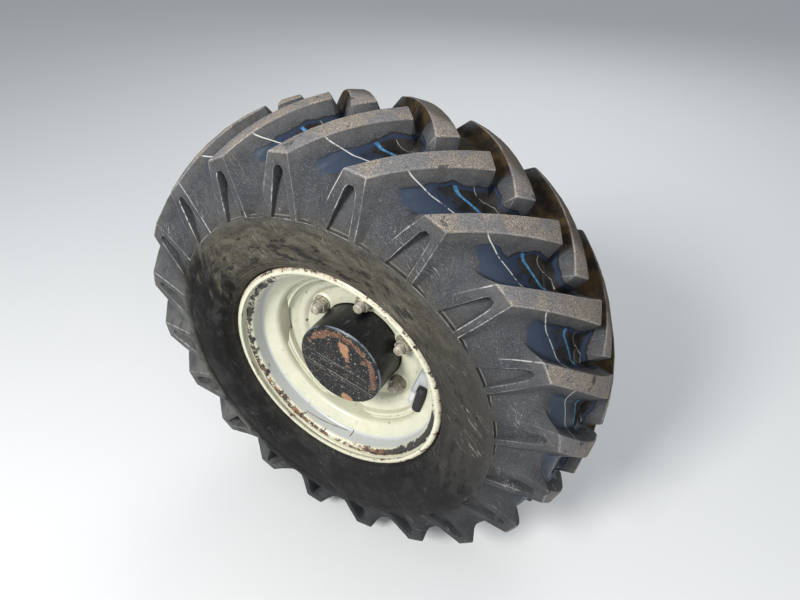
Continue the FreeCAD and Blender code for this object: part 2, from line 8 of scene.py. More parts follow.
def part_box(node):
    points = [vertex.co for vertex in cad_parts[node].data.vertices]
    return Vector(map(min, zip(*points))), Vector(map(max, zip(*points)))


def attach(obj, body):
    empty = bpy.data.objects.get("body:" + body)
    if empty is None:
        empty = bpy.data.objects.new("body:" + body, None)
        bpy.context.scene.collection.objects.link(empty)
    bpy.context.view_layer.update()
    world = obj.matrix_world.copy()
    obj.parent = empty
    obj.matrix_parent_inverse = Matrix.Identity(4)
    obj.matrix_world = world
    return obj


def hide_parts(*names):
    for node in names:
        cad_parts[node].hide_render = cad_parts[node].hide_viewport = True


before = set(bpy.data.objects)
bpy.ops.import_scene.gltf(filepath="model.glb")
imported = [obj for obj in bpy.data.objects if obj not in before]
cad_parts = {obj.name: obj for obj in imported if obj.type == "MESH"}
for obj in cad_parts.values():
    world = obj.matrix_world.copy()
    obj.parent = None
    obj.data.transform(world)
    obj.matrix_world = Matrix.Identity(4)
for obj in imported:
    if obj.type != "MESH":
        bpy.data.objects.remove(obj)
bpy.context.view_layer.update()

# Looks of a dumper's wheel end. Metres, +Z up, +X towards the front of the machine, and the wheel turns
# about Y. "Out" is the distance outboard of the arm's bolting face, so Y is minus "out". Lengths along
# the wheel that are called x are counted outboard from the tyre's middle plane.

mm = 0.001
tyre_low, tyre_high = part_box("tyre")
middle_out = -(tyre_low.y + tyre_high.y) / 2

# Tread and sidewall
crown_radius = tyre_high.z
shoulder_drop = 37 * mm
tread_half_width = 139 * mm
lug_count = 20
lug_pitch = 360 / lug_count
first_shoulder_angle = 82.1
far_side_stagger = lug_pitch / 2
skirt_radius = 316 * mm
widest_x = 156.9 * mm
bury = 6 * mm
POCKET_COLUMN = 6
UPPER_COLUMNS = range(4, 10)
floor_line = [(0, 413), (60, 409), (100, 400), (122, 385), (136, 355), (147, 325), (150.5, 316)]
flank_draft = 22.0
nose_draft = 20.0
tread_segments = 200

# Wheel: lines of a sheet's middle as (x, radius, bend), in millimetres
wheel_segments = 192
rim_wall = 5 * mm
rim_line = [(129.5, 202.5, 0), (129.5, 211, 7), (117, 211, 7), (117, 191.5, 6), (88, 191.5, 8),
            (74, 162.5, 10)]
disc_wall = 10 * mm
disc_line = [(27.7, 85.5, 0), (27.7, 122, 6), (34.7, 128.9, 6), (36.7, 139.2, 10), (46.7, 155, 10),
             (61.2, 155, 0)]
nut_face_x = 32.7 * mm
stud_count = 6
stud_first_angle = 22.0
stud_circle_radius = 102.5 * mm
nut_height = 17 * mm
nut_across_flats = 27 * mm
notch_distance = 147.5 * mm
notch_floor_x = 42.7 * mm
notch_first_angle = 84.0
cap_line = [(28.7, 78.4, 0), (28.7, 84.4, 0), (105.7, 84.4, 0.8), (108.7, 80.6, 0.8), (108.7, 0, 0),
            (102.7, 0, 0), (102.7, 78.4, 4)]
well_radius = 160 * mm
valve_x = 60.5 * mm
valve_angle = -13.0
guard_angle = -12.0


def at(x, radius, angle=0.0):
    """Point of the wheel at x, at a distance from its axis, and at an angle above the front."""
    turn = math.radians(angle)
    return Vector((radius * math.cos(turn), -middle_out - x, radius * math.sin(turn)))


def around(count, first_angle=0.0):
    return [first_angle + 360 * k / count for k in range(count)]


def blend_points(table, where):
    """Value at one place of a polyline of (place, value), with its ends held."""
    for (before, low), (after, high) in zip(table, table[1:]):
        if where <= after:
            share = max(0.0, (where - before) / (after - before))
            return low + (high - low) * share
    return table[-1][1]


def bent(corners, steps=6):
    """Points of a line through (x, radius, bend) corners in mm, each bend as points on a tangent arc."""
    points = []
    for i, (x, radius, bend) in enumerate(corners):
        here = Vector((x, radius))
        if bend == 0 or i in (0, len(corners) - 1):
            points.append(here * mm)
            continue
        back = Vector(corners[i - 1][:2]) - here
        ahead = Vector(corners[i + 1][:2]) - here
        half = back.angle(ahead) / 2
        reach = min(bend / math.tan(half), 0.48 * min(back.length, ahead.length))
        back.normalize()
        ahead.normalize()
        centre = here + (back + ahead).normalized() * (reach / math.cos(half))
        start = here + back * reach - centre
        sweep = start.angle_signed(here + ahead * reach - centre)
        for step in range(steps + 1):
            turn = sweep * step / steps
            points.append((centre + Matrix.Rotation(-turn, 2) @ start) * mm)
    return points


def spun(bm, points, segments, closed=False):
    """Surface that a line of (x, radius) points sweeps about the wheel's axis."""
    verts = [bm.verts.new(at(x, radius)) for x, radius in points]
    edges = [bm.edges.new(pair) for pair in zip(verts, verts[1:])]
    if closed:
        edges.append(bm.edges.new((verts[-1], verts[0])))
    bmesh.ops.spin(bm, geom=verts + edges, cent=(0, 0, 0), axis=(0, 1, 0), dvec=(0, 0, 0),
                   angle=2 * math.pi, steps=segments, use_merge=True, use_duplicate=False)
    bmesh.ops.remove_doubles(bm, verts=bm.verts, dist=0.001 * mm)
    bmesh.ops.delete(bm, geom=[edge for edge in bm.edges if not edge.link_faces], context="EDGES")


def loose_object(name, bm):
    """Object of a closed mesh, not yet finished."""
    bmesh.ops.recalc_face_normals(bm, faces=bm.faces)
    mesh = bpy.data.meshes.new(name)
    bm.to_mesh(mesh)
    bm.free()
    piece = bpy.data.objects.new(name, mesh)
    bpy.context.scene.collection.objects.link(piece)
    return piece


def turning(name, corners, segments, steps=6):
    """Closed turned solid about the wheel's axis, from a closed outline of (x, radius, bend) in mm."""
    bm = bmesh.new()
    spun(bm, bent(corners, steps), segments, closed=True)
    bmesh.ops.dissolve_degenerate(bm, edges=bm.edges, dist=0.001 * mm)
    return loose_object(name, bm)


def apply_modifiers(piece):
    whole = bpy.data.meshes.new_from_object(piece.evaluated_get(bpy.context.evaluated_depsgraph_get()))
    piece.modifiers.clear()
    piece.data = whole


def joined(base, other, operation="UNION"):
    """The first object, with the other one joined to it, cut from it, or its overlap with it kept."""
    boolean = base.modifiers.new("join", "BOOLEAN")
    boolean.operation = operation
    boolean.solver = "MANIFOLD"
    boolean.object = other
    apply_modifiers(base)
    bpy.data.objects.remove(other)
    return base


def rounded_edges(piece, width, segments=2, sharper_than=35.0):
    bevel = piece.modifiers.new("rounding", "BEVEL")
    bevel.width = width
    bevel.segments = segments
    bevel.limit_method = "ANGLE"
    bevel.angle_limit = math.radians(sharper_than)
    apply_modifiers(piece)
    return piece


def sheet(name, line, wall, segments):
    """Turned sheet of one wall, its middle along a line of (x, radius, bend), its edges rounded."""
    bm = bmesh.new()
    spun(bm, bent(line), segments)
    piece = loose_object(name, bm)
    thick = piece.modifiers.new("wall", "SOLIDIFY")
    thick.thickness = wall
    thick.offset = 0.0
    thick.use_even_offset = True
    apply_modifiers(piece)
    return rounded_edges(piece, wall * 0.3, 2, 60.0)


def placed(piece, matrix):
    """The piece with its mesh moved to its place."""
    piece.data.transform(matrix)
    return piece


def on_stud(angle):
    """From the wheel's axis to one stud."""
    return Matrix.Translation(at(0, stud_circle_radius, angle) - at(0, 0)) @ turned_by(angle)


def turned_by(angle):
    return Matrix.Rotation(math.radians(-angle), 4, "Y")


def mark_worn(bm):
    """Gives each vertex inside a rounding how far it stands out, so that a finish can wear there."""
    worn = bm.verts.layers.float.new("worn")
    widths = [2 * face.calc_area() / max(edge.calc_length() for edge in face.edges) for face in bm.faces]
    bm.faces.index_update()
    for vert in bm.verts:
        if max(widths[face.index] for face in vert.link_faces) < 4 * mm:
            ways = [(edge.other_vert(vert).co - vert.co).normalized() for edge in vert.link_edges]
            vert[worn] = max(0.0, sum(-vert.normal.dot(way) for way in ways) / len(ways))


def finished(piece, name, body, finish, replaces=(), crease=32.0):
    """Smooths a piece but for its creases, and puts it on its body with its finish."""
    bm = bmesh.new()
    bm.from_mesh(piece.data)
    bmesh.ops.remove_doubles(bm, verts=bm.verts, dist=0.02 * mm)
    bmesh.ops.recalc_face_normals(bm, faces=bm.faces)
    bm.normal_update()
    for face in bm.faces:
        face.smooth = True
    for edge in bm.edges:
        if len(edge.link_faces) == 2:
            edge.smooth = edge.calc_face_angle(0.0) < math.radians(crease)
    mark_worn(bm)
    bm.to_mesh(piece.data)
    bm.free()
    piece.name = name
    piece.data.materials.clear()
    piece.data.materials.append(finish)
    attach(piece, body)
    if replaces:
        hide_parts(*replaces)


class Value:
    """Number in a material, on which sums are written as on any number."""

    def __init__(self, finish, socket):
        self.finish = finish
        self.socket = socket

    def sum(self, operation, *terms):
        return self.finish.node("ShaderNodeMath", {"operation": operation}, dict(enumerate(terms)))

    def __add__(self, other):
        return self.sum("ADD", self, other)

    def __radd__(self, other):
        return self.sum("ADD", other, self)

    def __sub__(self, other):
        return self.sum("SUBTRACT", self, other)

    def __rsub__(self, other):
        return self.sum("SUBTRACT", other, self)

    def __mul__(self, other):
        return self.sum("MULTIPLY", self, other)

    def __rmul__(self, other):
        return self.sum("MULTIPLY", other, self)

    def __truediv__(self, other):
        return self.sum("DIVIDE", self, other)

    def __rtruediv__(self, other):
        return self.sum("DIVIDE", other, self)

    def __pow__(self, other):
        return self.sum("POWER", self, other)

    def __abs__(self):
        return self.sum("ABSOLUTE", self)

    def __or__(self, other):
        return self.sum("MAXIMUM", self, other)


class Finish:
    """Material of one finish, with the wheel's own measures ready to use."""

    def __init__(self, name, gloss=0.5):
        self.material = bpy.data.materials.new(name)
        self.material.use_nodes = True
        self.tree = self.material.node_tree
        self.shader = self.tree.nodes["Principled BSDF"]
        self.shader.inputs["Specular IOR Level"].default_value = gloss
        self.place = self.node("ShaderNodeTexCoord", {}, {}, "Object")
        self.forward, self.side, self.up = self.parts(self.place)
        self.x = -middle_out - self.side
        self.radius = (self.forward * self.forward + self.up * self.up) ** 0.5
        self.angle = self.node("ShaderNodeMath", {"operation": "ARCTAN2"}, {0: self.up, 1: self.forward})

    def node(self, kind, settings, inputs, output=0):
        made = self.tree.nodes.new(kind)
        for key, setting in settings.items():
            setattr(made, key, setting)
        for key, given in inputs.items():
            if isinstance(given, Value):
                self.tree.links.new(given.socket, made.inputs[key])
            else:
                made.inputs[key].default_value = given
        return Value(self, made.outputs[output])

    def parts(self, vector):
        split = self.tree.nodes.new("ShaderNodeSeparateXYZ")
        self.tree.links.new(vector.socket, split.inputs[0])
        return [Value(self, output) for output in split.outputs]

    def vector(self, x, y, z):
        return self.node("ShaderNodeCombineXYZ", {}, {0: x, 1: y, 2: z})

    def noise(self, scale, detail=4.0, rough=0.55, place=None, warp=0.0):
        inputs = {"Vector": place or self.place, "Scale": scale, "Detail": detail, "Roughness": rough,
                  "Distortion": warp}
        return self.node("ShaderNodeTexNoise", {"noise_dimensions": "3D"}, inputs, 0)

    def cells(self, scale):
        return self.node("ShaderNodeTexVoronoi", {"feature": "F1"}, {"Vector": self.place, "Scale": scale},
                         "Distance")

    def worn(self, low, high):
        """1 on the piece's own edges, 0 on its faces."""
        measure = self.node("ShaderNodeAttribute", {"attribute_name": "worn"}, {}, "Fac")
        return self.rise(measure, low, high)

    def rise(self, value, low, high):
        """0 below low, 1 above high, smooth between; low above high turns it round."""
        return self.node("ShaderNodeMapRange", {"interpolation_type": "SMOOTHSTEP", "clamp": True},
                         {"Value": value, "From Min": low, "From Max": high})

    def near(self, value, middle, half_width, soft):
        return self.rise(abs(value - middle), half_width + soft, half_width - soft)

    def round_wheel(self, stretch):
        """Coordinates that draw a pattern out round the wheel."""
        size = 0.26 / self.radius
        return self.vector(self.forward * size, self.up * size, self.radius * stretch + self.side)

    def facing(self, forward, up):
        """Share of the way from the wheel's axis towards one direction, from -1 to 1."""
        return (self.forward * forward + self.up * up) / self.radius

    def mix(self, share, first, second):
        made = self.tree.nodes.new("ShaderNodeMix")
        made.data_type = "RGBA"
        sockets = [made.inputs["Factor"], *[s for s in made.inputs if s.type == "RGBA"]]
        for socket, given in zip(sockets, (share, first, second)):
            if isinstance(given, Value):
                self.tree.links.new(given.socket, socket)
            else:
                socket.default_value = given if socket.type != "RGBA" else (*given, 1.0)
        return Value(self, next(s for s in made.outputs if s.type == "RGBA"))

    def between(self, share, first, second):
        """Number that goes from the first to the second as the share goes from 0 to 1."""
        return (1.0 - share) * first + share * second

    def set(self, **sockets):
        for key, given in sockets.items():
            socket = self.shader.inputs[key.replace("_", " ")]
            if isinstance(given, Value):
                self.tree.links.new(given.socket, socket)
            elif socket.type == "RGBA":
                socket.default_value = (*given, 1.0)
            else:
                socket.default_value = given

    def bump(self, height, depth, strength):
        normal = self.node("ShaderNodeBump", {}, {"Height": height, "Distance": depth, "Strength": strength})
        self.set(Normal=normal)


def rubber_of_tyre():
    """Dusty worn rubber: speckled tops, wet black gaps with a painted blue reflection, pale edges, brown side
    with black stains, painted shade low down and to the right.
    """
    f = Finish("tyre_rubber", 0.08)
    grain = f.noise(1400.0, 3.0, 0.7)
    grit = f.noise(480.0, 5.0, 0.75)
    specks = f.noise(760.0, 2.0, 0.6)
    cloud = f.noise(12.0, 5.0, 0.6)
    blots = f.noise(36.0, 6.0, 0.65)
    ragged = f.noise(85.0, 8.0, 0.72)
    width = abs(f.x)
    top = crown_radius - shoulder_drop * (f.x / tread_half_width) ** 2.0
    depth = top - f.radius
    on_top = f.rise(depth, 3.0 * mm, 1.2 * mm) * f.rise(width, 143 * mm, 138 * mm)

    # Flanks and skirts: grey and speckled, dusted close under their edges
    rubber = f.mix(f.rise(cloud, 0.35, 0.7), (0.030, 0.033, 0.039), (0.058, 0.060, 0.065))
    dust = f.mix(f.rise(blots, 0.4, 0.65), (0.118, 0.112, 0.105), (0.080, 0.071, 0.058))
    colour = f.mix(f.rise(grit, 0.42, 0.70) * 0.55, rubber, dust)
    colour = f.mix(f.rise(specks, 0.63, 0.71) * 0.65, colour, (0.33, 0.32, 0.30))
    colour = f.mix(f.rise(ragged, 0.57, 0.62) * 0.45, colour, (0.036, 0.034, 0.033))
    under_edge = f.rise(depth, 22 * mm, 5 * mm) * f.rise(f.x, -5 * mm, 10 * mm)
    colour = f.mix(under_edge * 0.35, colour, dust)

    # Sidewall: dried brown mud over black rubber, with painted shadow towards its right and painted shade on
    # the lower skirts
    side = f.rise(f.radius, 348 * mm, 292 * mm) * f.rise(width, 100 * mm, 125 * mm)
    polar = f.round_wheel(2.6)
    crust = f.noise(34.0, 7.0, 0.68, polar)
    brown = f.mix(f.rise(crust, 0.35, 0.68), (0.033, 0.029, 0.022), (0.084, 0.075, 0.055))
    brown = f.mix(f.rise(grit, 0.50, 0.70) * 0.5, brown, (0.17, 0.152, 0.115))
    brown = f.mix(f.rise(f.noise(120.0, 7.0, 0.72, polar), 0.57, 0.63) * 0.65, brown, (0.028, 0.025, 0.020))
    stains = f.noise(26.0, 8.0, 0.66, polar)
    near_bead = f.near(f.radius, 262 * mm, 20 * mm, 14 * mm) * 0.06
    # Painted shadow: the side darkened towards its lower right, with fewer black stains there
    right_shadow = f.rise(f.facing(0.90, -0.42), 0.0, 0.85)
    brown = f.mix(right_shadow * 0.78, brown, (0.025, 0.024, 0.022))
    brown = f.mix(f.rise(stains + near_bead - right_shadow * 0.035, 0.60, 0.63) * 0.9, brown, (0.014, 0.012, 0.010))
    colour = f.mix(side * 0.9, colour, brown)

    streaks = f.noise(60.0, 6.0, 0.66, f.vector(f.forward, f.side, f.up * 0.22))
    wet = f.facing(-0.50, -0.87) + (streaks - 0.5) * 1.3 + (cloud - 0.5) * 0.5
    wet = f.rise(wet, -0.26, 0.02) * f.rise(width, 112 * mm, 146 * mm)
    wet = wet * f.rise(f.radius + (blots - 0.5) * 60 * mm, 340 * mm, 296 * mm)
    soak = f.mix(f.rise(ragged, 0.50, 0.66), (0.003, 0.003, 0.0032), (0.013, 0.012, 0.011))
    soak = f.mix(f.rise(stains, 0.47, 0.56) * f.rise(cloud, 0.42, 0.60) * 0.55, soak, (0.034, 0.034, 0.032))
    colour = f.mix(wet * 0.96, colour, soak)
    # Painted shade: skirts on the underside of the wheel darker, more so at the lower right
    low_skirt_shade = f.rise(f.facing(-0.45, -0.89), -0.1, 0.8) * f.rise(width, 100 * mm, 140 * mm)
    colour = f.mix(low_skirt_shade * 0.25, colour, (0.012, 0.012, 0.013))
    right_skirt_shade = f.rise(f.facing(0.55, -0.83), 0.3, 0.9) * f.rise(width, 100 * mm, 140 * mm)
    colour = f.mix(right_skirt_shade * 0.35, colour, (0.020, 0.020, 0.021))
    left_skirts = f.rise(f.facing(-0.92, -0.39), 0.64, 0.96) * f.rise(width, 112 * mm, 136 * mm)
    left_skirts = left_skirts * f.rise(f.radius, 296 * mm, 316 * mm)
    colour = f.mix(left_skirts * f.rise(blots, 0.30, 0.60) * 0.5, colour, (0.150, 0.150, 0.136))

    # Gaps: wet, black to brown in the middle, with a painted navy reflection of the sky towards the shoulder,
    # and a hard edge on the flanks
    coast = (f.noise(21.0, 4.0, 0.45) - 0.5) * 30 * mm
    gap = f.rise(depth + coast, 21.0 * mm, 22.6 * mm)
    gap = gap * f.rise(f.radius, 372 * mm, 380 * mm)
    gap = gap * f.rise(f.x + coast * 1.4 - depth * 0.25, 111 * mm, 106 * mm)
    gap = gap * f.rise(f.x + coast, -14 * mm, -6 * mm)
    # Painted reflection: navy sky blue in the gaps towards the shoulder, and in a band at one depth along
    # them
    sky_reflection_mask = f.rise(f.x + (blots - 0.5) * 90 * mm, 62 * mm, 84 * mm)
    sky_reflection_mask = sky_reflection_mask | f.near(depth + coast, 26 * mm, 2.2 * mm, 1.2 * mm)
    pool = f.mix(f.rise(blots, 0.38, 0.62), (0.009, 0.008, 0.007), (0.026, 0.023, 0.021))
    reflected_sky_blue = f.mix(f.rise(f.x + coast, 70 * mm, 105 * mm), (0.018, 0.030, 0.062), (0.034, 0.050, 0.080))
    pool = f.mix(sky_reflection_mask * 0.75, pool, reflected_sky_blue)
    shore = f.near(depth + coast, 22.6 * mm, 1.2 * mm, 0.9 * mm)
    pool = f.mix(shore * 0.6, pool, (0.016, 0.015, 0.016))
    pool = f.mix(f.rise(grit, 0.60, 0.75) * 0.35, pool, (0.10, 0.11, 0.13))
    colour = f.mix(gap * 0.95, colour, pool)

    # Inner half below the tops: a brown film
    inner = f.rise(f.x, -4 * mm, -22 * mm) * f.rise(depth, 0.8 * mm, 3 * mm)
    inner = inner * f.rise(width, 140 * mm, 112 * mm)
    umber = f.mix(f.rise(blots, 0.4, 0.62), (0.009, 0.006, 0.003), (0.046, 0.027, 0.009))
    colour = f.mix(inner * 0.92, colour, umber)

    # Tops: tan grit, worn smooth and blue-grey in places
    tan = f.mix(f.rise(grit, 0.40, 0.64), (0.120, 0.100, 0.084), (0.34, 0.29, 0.235))
    tan = f.mix(f.rise(specks, 0.58, 0.68) * 0.75, tan, (0.56, 0.51, 0.44))
    tan = f.mix(f.rise(f.noise(560.0, 4.0, 0.8), 0.53, 0.63) * 0.85, tan, (0.046, 0.040, 0.036))
    smooth = f.mix(f.rise(grit, 0.42, 0.7), (0.105, 0.106, 0.112), (0.215, 0.210, 0.212))
    bare = f.rise(f.noise(19.0, 6.0, 0.7) + f.rise(f.x, 40 * mm, 120 * mm) * 0.07, 0.47, 0.60)
    tops = f.mix(bare * 0.8, tan, smooth)
    tops = f.mix(f.rise(blots, 0.60, 0.65) * 0.8, tops, (0.034, 0.033, 0.034))
    tops = f.mix(f.rise(f.x, -15 * mm, -45 * mm) * 0.74, tops, (0.056, 0.041, 0.027))
    colour = f.mix(on_top * 0.95, colour, tops)

    # Edges worn pale, and the raised line where a gap ends on the side
    edge = f.worn(0.025, 0.07) * f.rise(f.noise(150.0, 5.0, 0.7), 0.36, 0.54)
    edge = edge * (f.rise(f.noise(17.0, 3.0, 0.5), 0.44, 0.60) * 0.8 + 0.2)
    edge = edge * (f.rise(width, 136 * mm, 142 * mm) * 0.65 + 0.35)
    edge = edge * f.rise(f.facing(-0.25, 0.95), -0.9, 0.5) * f.rise(f.radius, 312 * mm, 318 * mm)
    colour = f.mix(edge * 0.85, colour, (0.42, 0.41, 0.385))
    gap_end = f.near(f.radius, 317.6 * mm, 0.7 * mm, 0.4 * mm) * f.near(width, 150.3 * mm, 1.8 * mm, 0.5 * mm)
    colour = f.mix(gap_end * 0.28, colour, (0.33, 0.32, 0.30))

    # Lines moulded round the tread, which show in the gaps
    broken = f.rise(f.noise(60.0, 5.0, 0.7), 0.36, 0.48)
    climb = f.rise(depth, 36 * mm, 0.0) * 15 * mm
    stripe = f.near(f.x - climb * 0.3 + (grit - 0.5) * 1.5 * mm, 55 * mm, 2.2 * mm, 0.5 * mm)
    stripe = stripe * f.rise(depth + coast * 0.3, 24 * mm, 27 * mm)
    blue = f.mix(f.rise(f.noise(210.0, 4.0, 0.7), 0.42, 0.6), (0.030, 0.110, 0.215), (0.075, 0.215, 0.36))
    colour = f.mix(stripe * f.rise(f.noise(140.0, 5.0, 0.7), 0.28, 0.44), colour, blue)
    thick_line = f.near(f.x - climb, 86 * mm, 0.8 * mm, 0.3 * mm)
    thin_line = f.near(f.x, 33.5 * mm, 0.4 * mm, 0.25 * mm) * f.rise(depth, 24 * mm, 28 * mm) * 0.6
    lines = (thick_line | thin_line) * broken * f.rise(depth, -1 * mm, 8 * mm)
    colour = f.mix(lines * 0.8, colour, (0.55, 0.54, 0.50))

    scratches = f.noise(120.0, 2.0, 0.5, f.vector(f.forward + f.up * 0.8, f.side * 0.3, f.up * 0.1), 0.4)
    scratches = f.near(scratches, 0.5, 0.004, 0.003) * f.rise(f.noise(16.0), 0.48, 0.58)
    scratches = scratches * f.rise(width, 115 * mm, 138 * mm)
    colour = f.mix(scratches * 0.65 * (1.0 - wet * 0.75), colour, (0.34, 0.33, 0.30))

    f.set(Base_Color=colour)
    shine = gap | (wet * 0.6)
    f.set(Roughness=f.between(shine, 0.60 + grit * 0.3, 0.26 + blots * 0.25))
    relief = grain * 0.25 + grit * 0.45 + specks * 0.3
    f.bump(relief * (1.0 - gap * 0.75), 1.1 * mm, 0.8)
    return f.material


def paint_of_wheel():
    """Cream gloss paint, painted blue-grey shade on the bead ledge, chipped to black and rust along the
    flange.
    """
    f = Finish("wheel_paint")
    cloud = f.noise(10.0, 4.0, 0.6)
    mottle = f.noise(70.0, 5.0, 0.65)
    ragged = f.noise(58.0, 10.0, 0.74)
    fine = f.noise(700.0, 3.0, 0.6)
    turn = f.angle * (180 / math.pi)

    cream = f.mix(f.rise(cloud, 0.35, 0.65), (0.53, 0.52, 0.39), (0.475, 0.47, 0.355))
    cream = f.mix(f.rise(mottle, 0.52, 0.72) * 0.35, cream, (0.40, 0.38, 0.285))
    cream = f.mix(f.rise(fine, 0.64, 0.72) * 0.25, cream, (0.40, 0.37, 0.29))
    # Painted shade: the bead ledge's band tinted blue-grey all round
    ledge_shade = f.near(f.radius, 188 * mm, 3.0 * mm, 1.5 * mm) * f.near(f.x, 99 * mm, 13 * mm, 2.0 * mm)
    cream = f.mix(ledge_shade * 0.75, cream, (0.385, 0.40, 0.42))

    # Wear follows the root of the flange: black on the left and lower right, rusty grains along the bottom
    root = f.near(f.radius, 196 * mm, 6 * mm, 3.5 * mm) * f.rise(f.x, 108 * mm, 114 * mm)
    left = f.rise(f.facing(-0.97, -0.24), -0.05, 0.6)
    lower_right = f.rise(f.facing(0.80, -0.60), 0.55, 0.95)
    bottom = f.rise(f.facing(-0.35, -0.94), 0.4, 0.9)
    lip = f.rise(f.radius, 206 * mm, 210 * mm)
    amount = root * (left * 0.185 | lower_right * 0.26 | bottom * 0.13) | lip * 0.085
    crumbs = f.noise(260.0, 6.0, 0.72)
    crumbs = f.rise(crumbs + amount * 0.85, 0.665, 0.685) * (lip | root)
    chips = f.rise(ragged + amount, 0.640, 0.655) | crumbs
    halo = f.rise(ragged + amount, 0.615, 0.637)
    spots = f.rise(f.cells(42.0), 0.085, 0.055) * f.rise(f.noise(19.0, 3.0), 0.50, 0.58)
    slant = f.x + (turn + 118.6) * (0.5 * mm) - 106.3 * mm + (mottle - 0.5) * 2 * mm
    scratch = f.near(slant, 0.0, 0.8 * mm, 0.4 * mm)
    scratch = scratch * f.near(turn, -105.0, 14.0, 0.6) * f.rise(f.radius, 184 * mm, 186 * mm)
    tick = f.near(turn, -87.3, 0.35, 0.15) * f.near(f.x, 96 * mm, 8 * mm, 2 * mm)
    tick = tick * f.rise(f.radius, 184 * mm, 186 * mm)
    black = chips | spots | scratch | tick

    rust = f.mix(f.rise(mottle, 0.4, 0.6), (0.085, 0.036, 0.017), (0.30, 0.15, 0.065))
    rusty = f.rise(f.noise(110.0, 5.0, 0.7), 0.44, 0.56) * (bottom | lip * 0.8)
    iron = f.mix(rusty, (0.016, 0.014, 0.012), rust)
    cream = f.mix(lip * f.rise(mottle, 0.36, 0.58) * 0.6, cream, (0.42, 0.335, 0.255))
    colour = f.mix(halo * 0.45, cream, (0.40, 0.31, 0.21))
    colour = f.mix(black, colour, iron)
    dirt = f.rise(mottle, 0.50, 0.75) * f.rise(f.x, 60 * mm, 30 * mm)
    colour = f.mix(dirt * 0.35, colour, (0.34, 0.31, 0.24))
    f.set(Base_Color=colour, Coat_Weight=0.3, Coat_Roughness=0.15)
    f.set(Roughness=f.between(black, 0.30 + mottle * 0.15, 0.72))
    f.bump((1.0 - black) * 0.8 + fine * 0.10 + mottle * 0.25, 0.35 * mm, 0.8)
    return f.material


def paint_of_hub():
    """Black paint, scratched, with rust on the cap's face and a bluish edge on its upper side: worn paint
    with a painted sky reflection.
    """
    f = Finish("hub_black", 0.3)
    ragged = f.noise(75.0, 8.0, 0.76)
    mottle = f.noise(190.0, 5.0, 0.7)
    fine = f.noise(900.0, 3.0, 0.7)
    face = f.rise(f.x, 107.2 * mm, 108.2 * mm)
    along = f.forward * 0.974 - f.up * 0.228
    across = f.forward * 0.228 + f.up * 0.974

    black = f.mix(f.rise(mottle, 0.45, 0.7), (0.004, 0.005, 0.006), (0.013, 0.013, 0.015))
    scuffs = f.rise(f.noise(130.0, 5.0, 0.7, f.vector(f.forward, f.side * 0.2, f.up)), 0.58, 0.68)
    colour = f.mix(scuffs * 0.6 * (1.0 - face), black, (0.062, 0.066, 0.075))

    # Rust: a band inside the face's upper and front edge, a patch near the middle and one at the bottom
    band = f.near(f.radius, 71 * mm, 5.5 * mm, 4.5 * mm) * f.rise(f.facing(0.50, 0.87), -0.30, 0.30)
    rust = f.rise(band * 0.21 + ragged, 0.605, 0.635)
    for forward, up, size in ((8, 52, 8), (17, 49, 8), (13, 41, 9), (17, 32, 8), (19, 21, 5), (20, 8, 3),
                              (9, -73, 9), (19, -75, 6), (-38, 57, 7), (-28, 60, 6), (52, 30, 5)):
        spot = f.vector(f.forward, f.side * 0.0, f.up)
        apart = f.node("ShaderNodeVectorMath", {"operation": "DISTANCE"},
                       {0: spot, 1: Vector((forward * mm, 0, up * mm))}, "Value")
        rust = rust | f.rise(apart + (ragged - 0.5) * (size * 1.1 * mm), (size + 0.8) * mm, (size - 0.8) * mm)
    rust = rust * face
    orange = f.mix(f.rise(mottle, 0.38, 0.62), (0.075, 0.037, 0.024), (0.170, 0.088, 0.054))
    middle = f.near(f.forward, 13 * mm, 9 * mm, 3 * mm) * f.near(f.up, 42 * mm, 16 * mm, 4 * mm)
    orange = f.mix((middle | f.rise(f.up, -64 * mm, -68 * mm)) * 0.75, orange, (0.33, 0.175, 0.095))
    colour = f.mix(rust * 0.95, colour, orange)

    # Scratches run across the face along one direction, so their pattern is stretched that way
    lines = f.noise(330.0, 5.0, 0.68, f.vector(along * 0.12, f.side, across))
    lines = f.rise(lines, 0.570, 0.625) * f.near(across, -18 * mm, 34 * mm, 16 * mm)
    bend = (f.noise(30.0, 2.0) - 0.5) * 6 * mm
    line = across + bend
    gouges = (f.near(line, -24.5 * mm, 1.0 * mm, 0.6 * mm) | f.near(line, 1.5 * mm, 0.7 * mm, 0.5 * mm)
              | f.near(line, -31 * mm, 0.5 * mm, 0.5 * mm))
    gouges = gouges * f.rise(f.noise(90.0, 4.0, 0.7), 0.40, 0.50)
    marks = (lines * 0.7 | gouges) * face * (1.0 - rust)
    colour = f.mix(marks, colour, (0.135, 0.120, 0.103))
    specks = f.rise(f.noise(270.0, 4.0, 0.78), 0.605, 0.64) * face
    colour = f.mix(specks * 0.9, colour, (0.40, 0.37, 0.31))

    # Bluish line on the upper part of the cap's edge: worn paint with a painted sky reflection
    ring = f.near(f.radius, 84.0 * mm, 1.1 * mm, 0.7 * mm) * f.near(f.x, 105.2 * mm, 1.6 * mm, 0.8 * mm)
    ring = ring * f.rise(f.noise(50.0, 5.0, 0.7), 0.34, 0.54) * f.rise(f.facing(0.3, 0.95), -0.4, 0.5)
    colour = f.mix(ring * 0.85, colour, (0.15, 0.17, 0.205))
    f.set(Base_Color=colour)
    rough = f.between(face, 0.20 + mottle * 0.22, 0.42 + mottle * 0.3)
    f.set(Roughness=f.between(rust, rough, 0.85))
    f.bump((1.0 - rust) * 0.5 - marks * 0.3 + mottle * 0.3 + fine * 0.08, 0.35 * mm, 0.8)
    return f.material


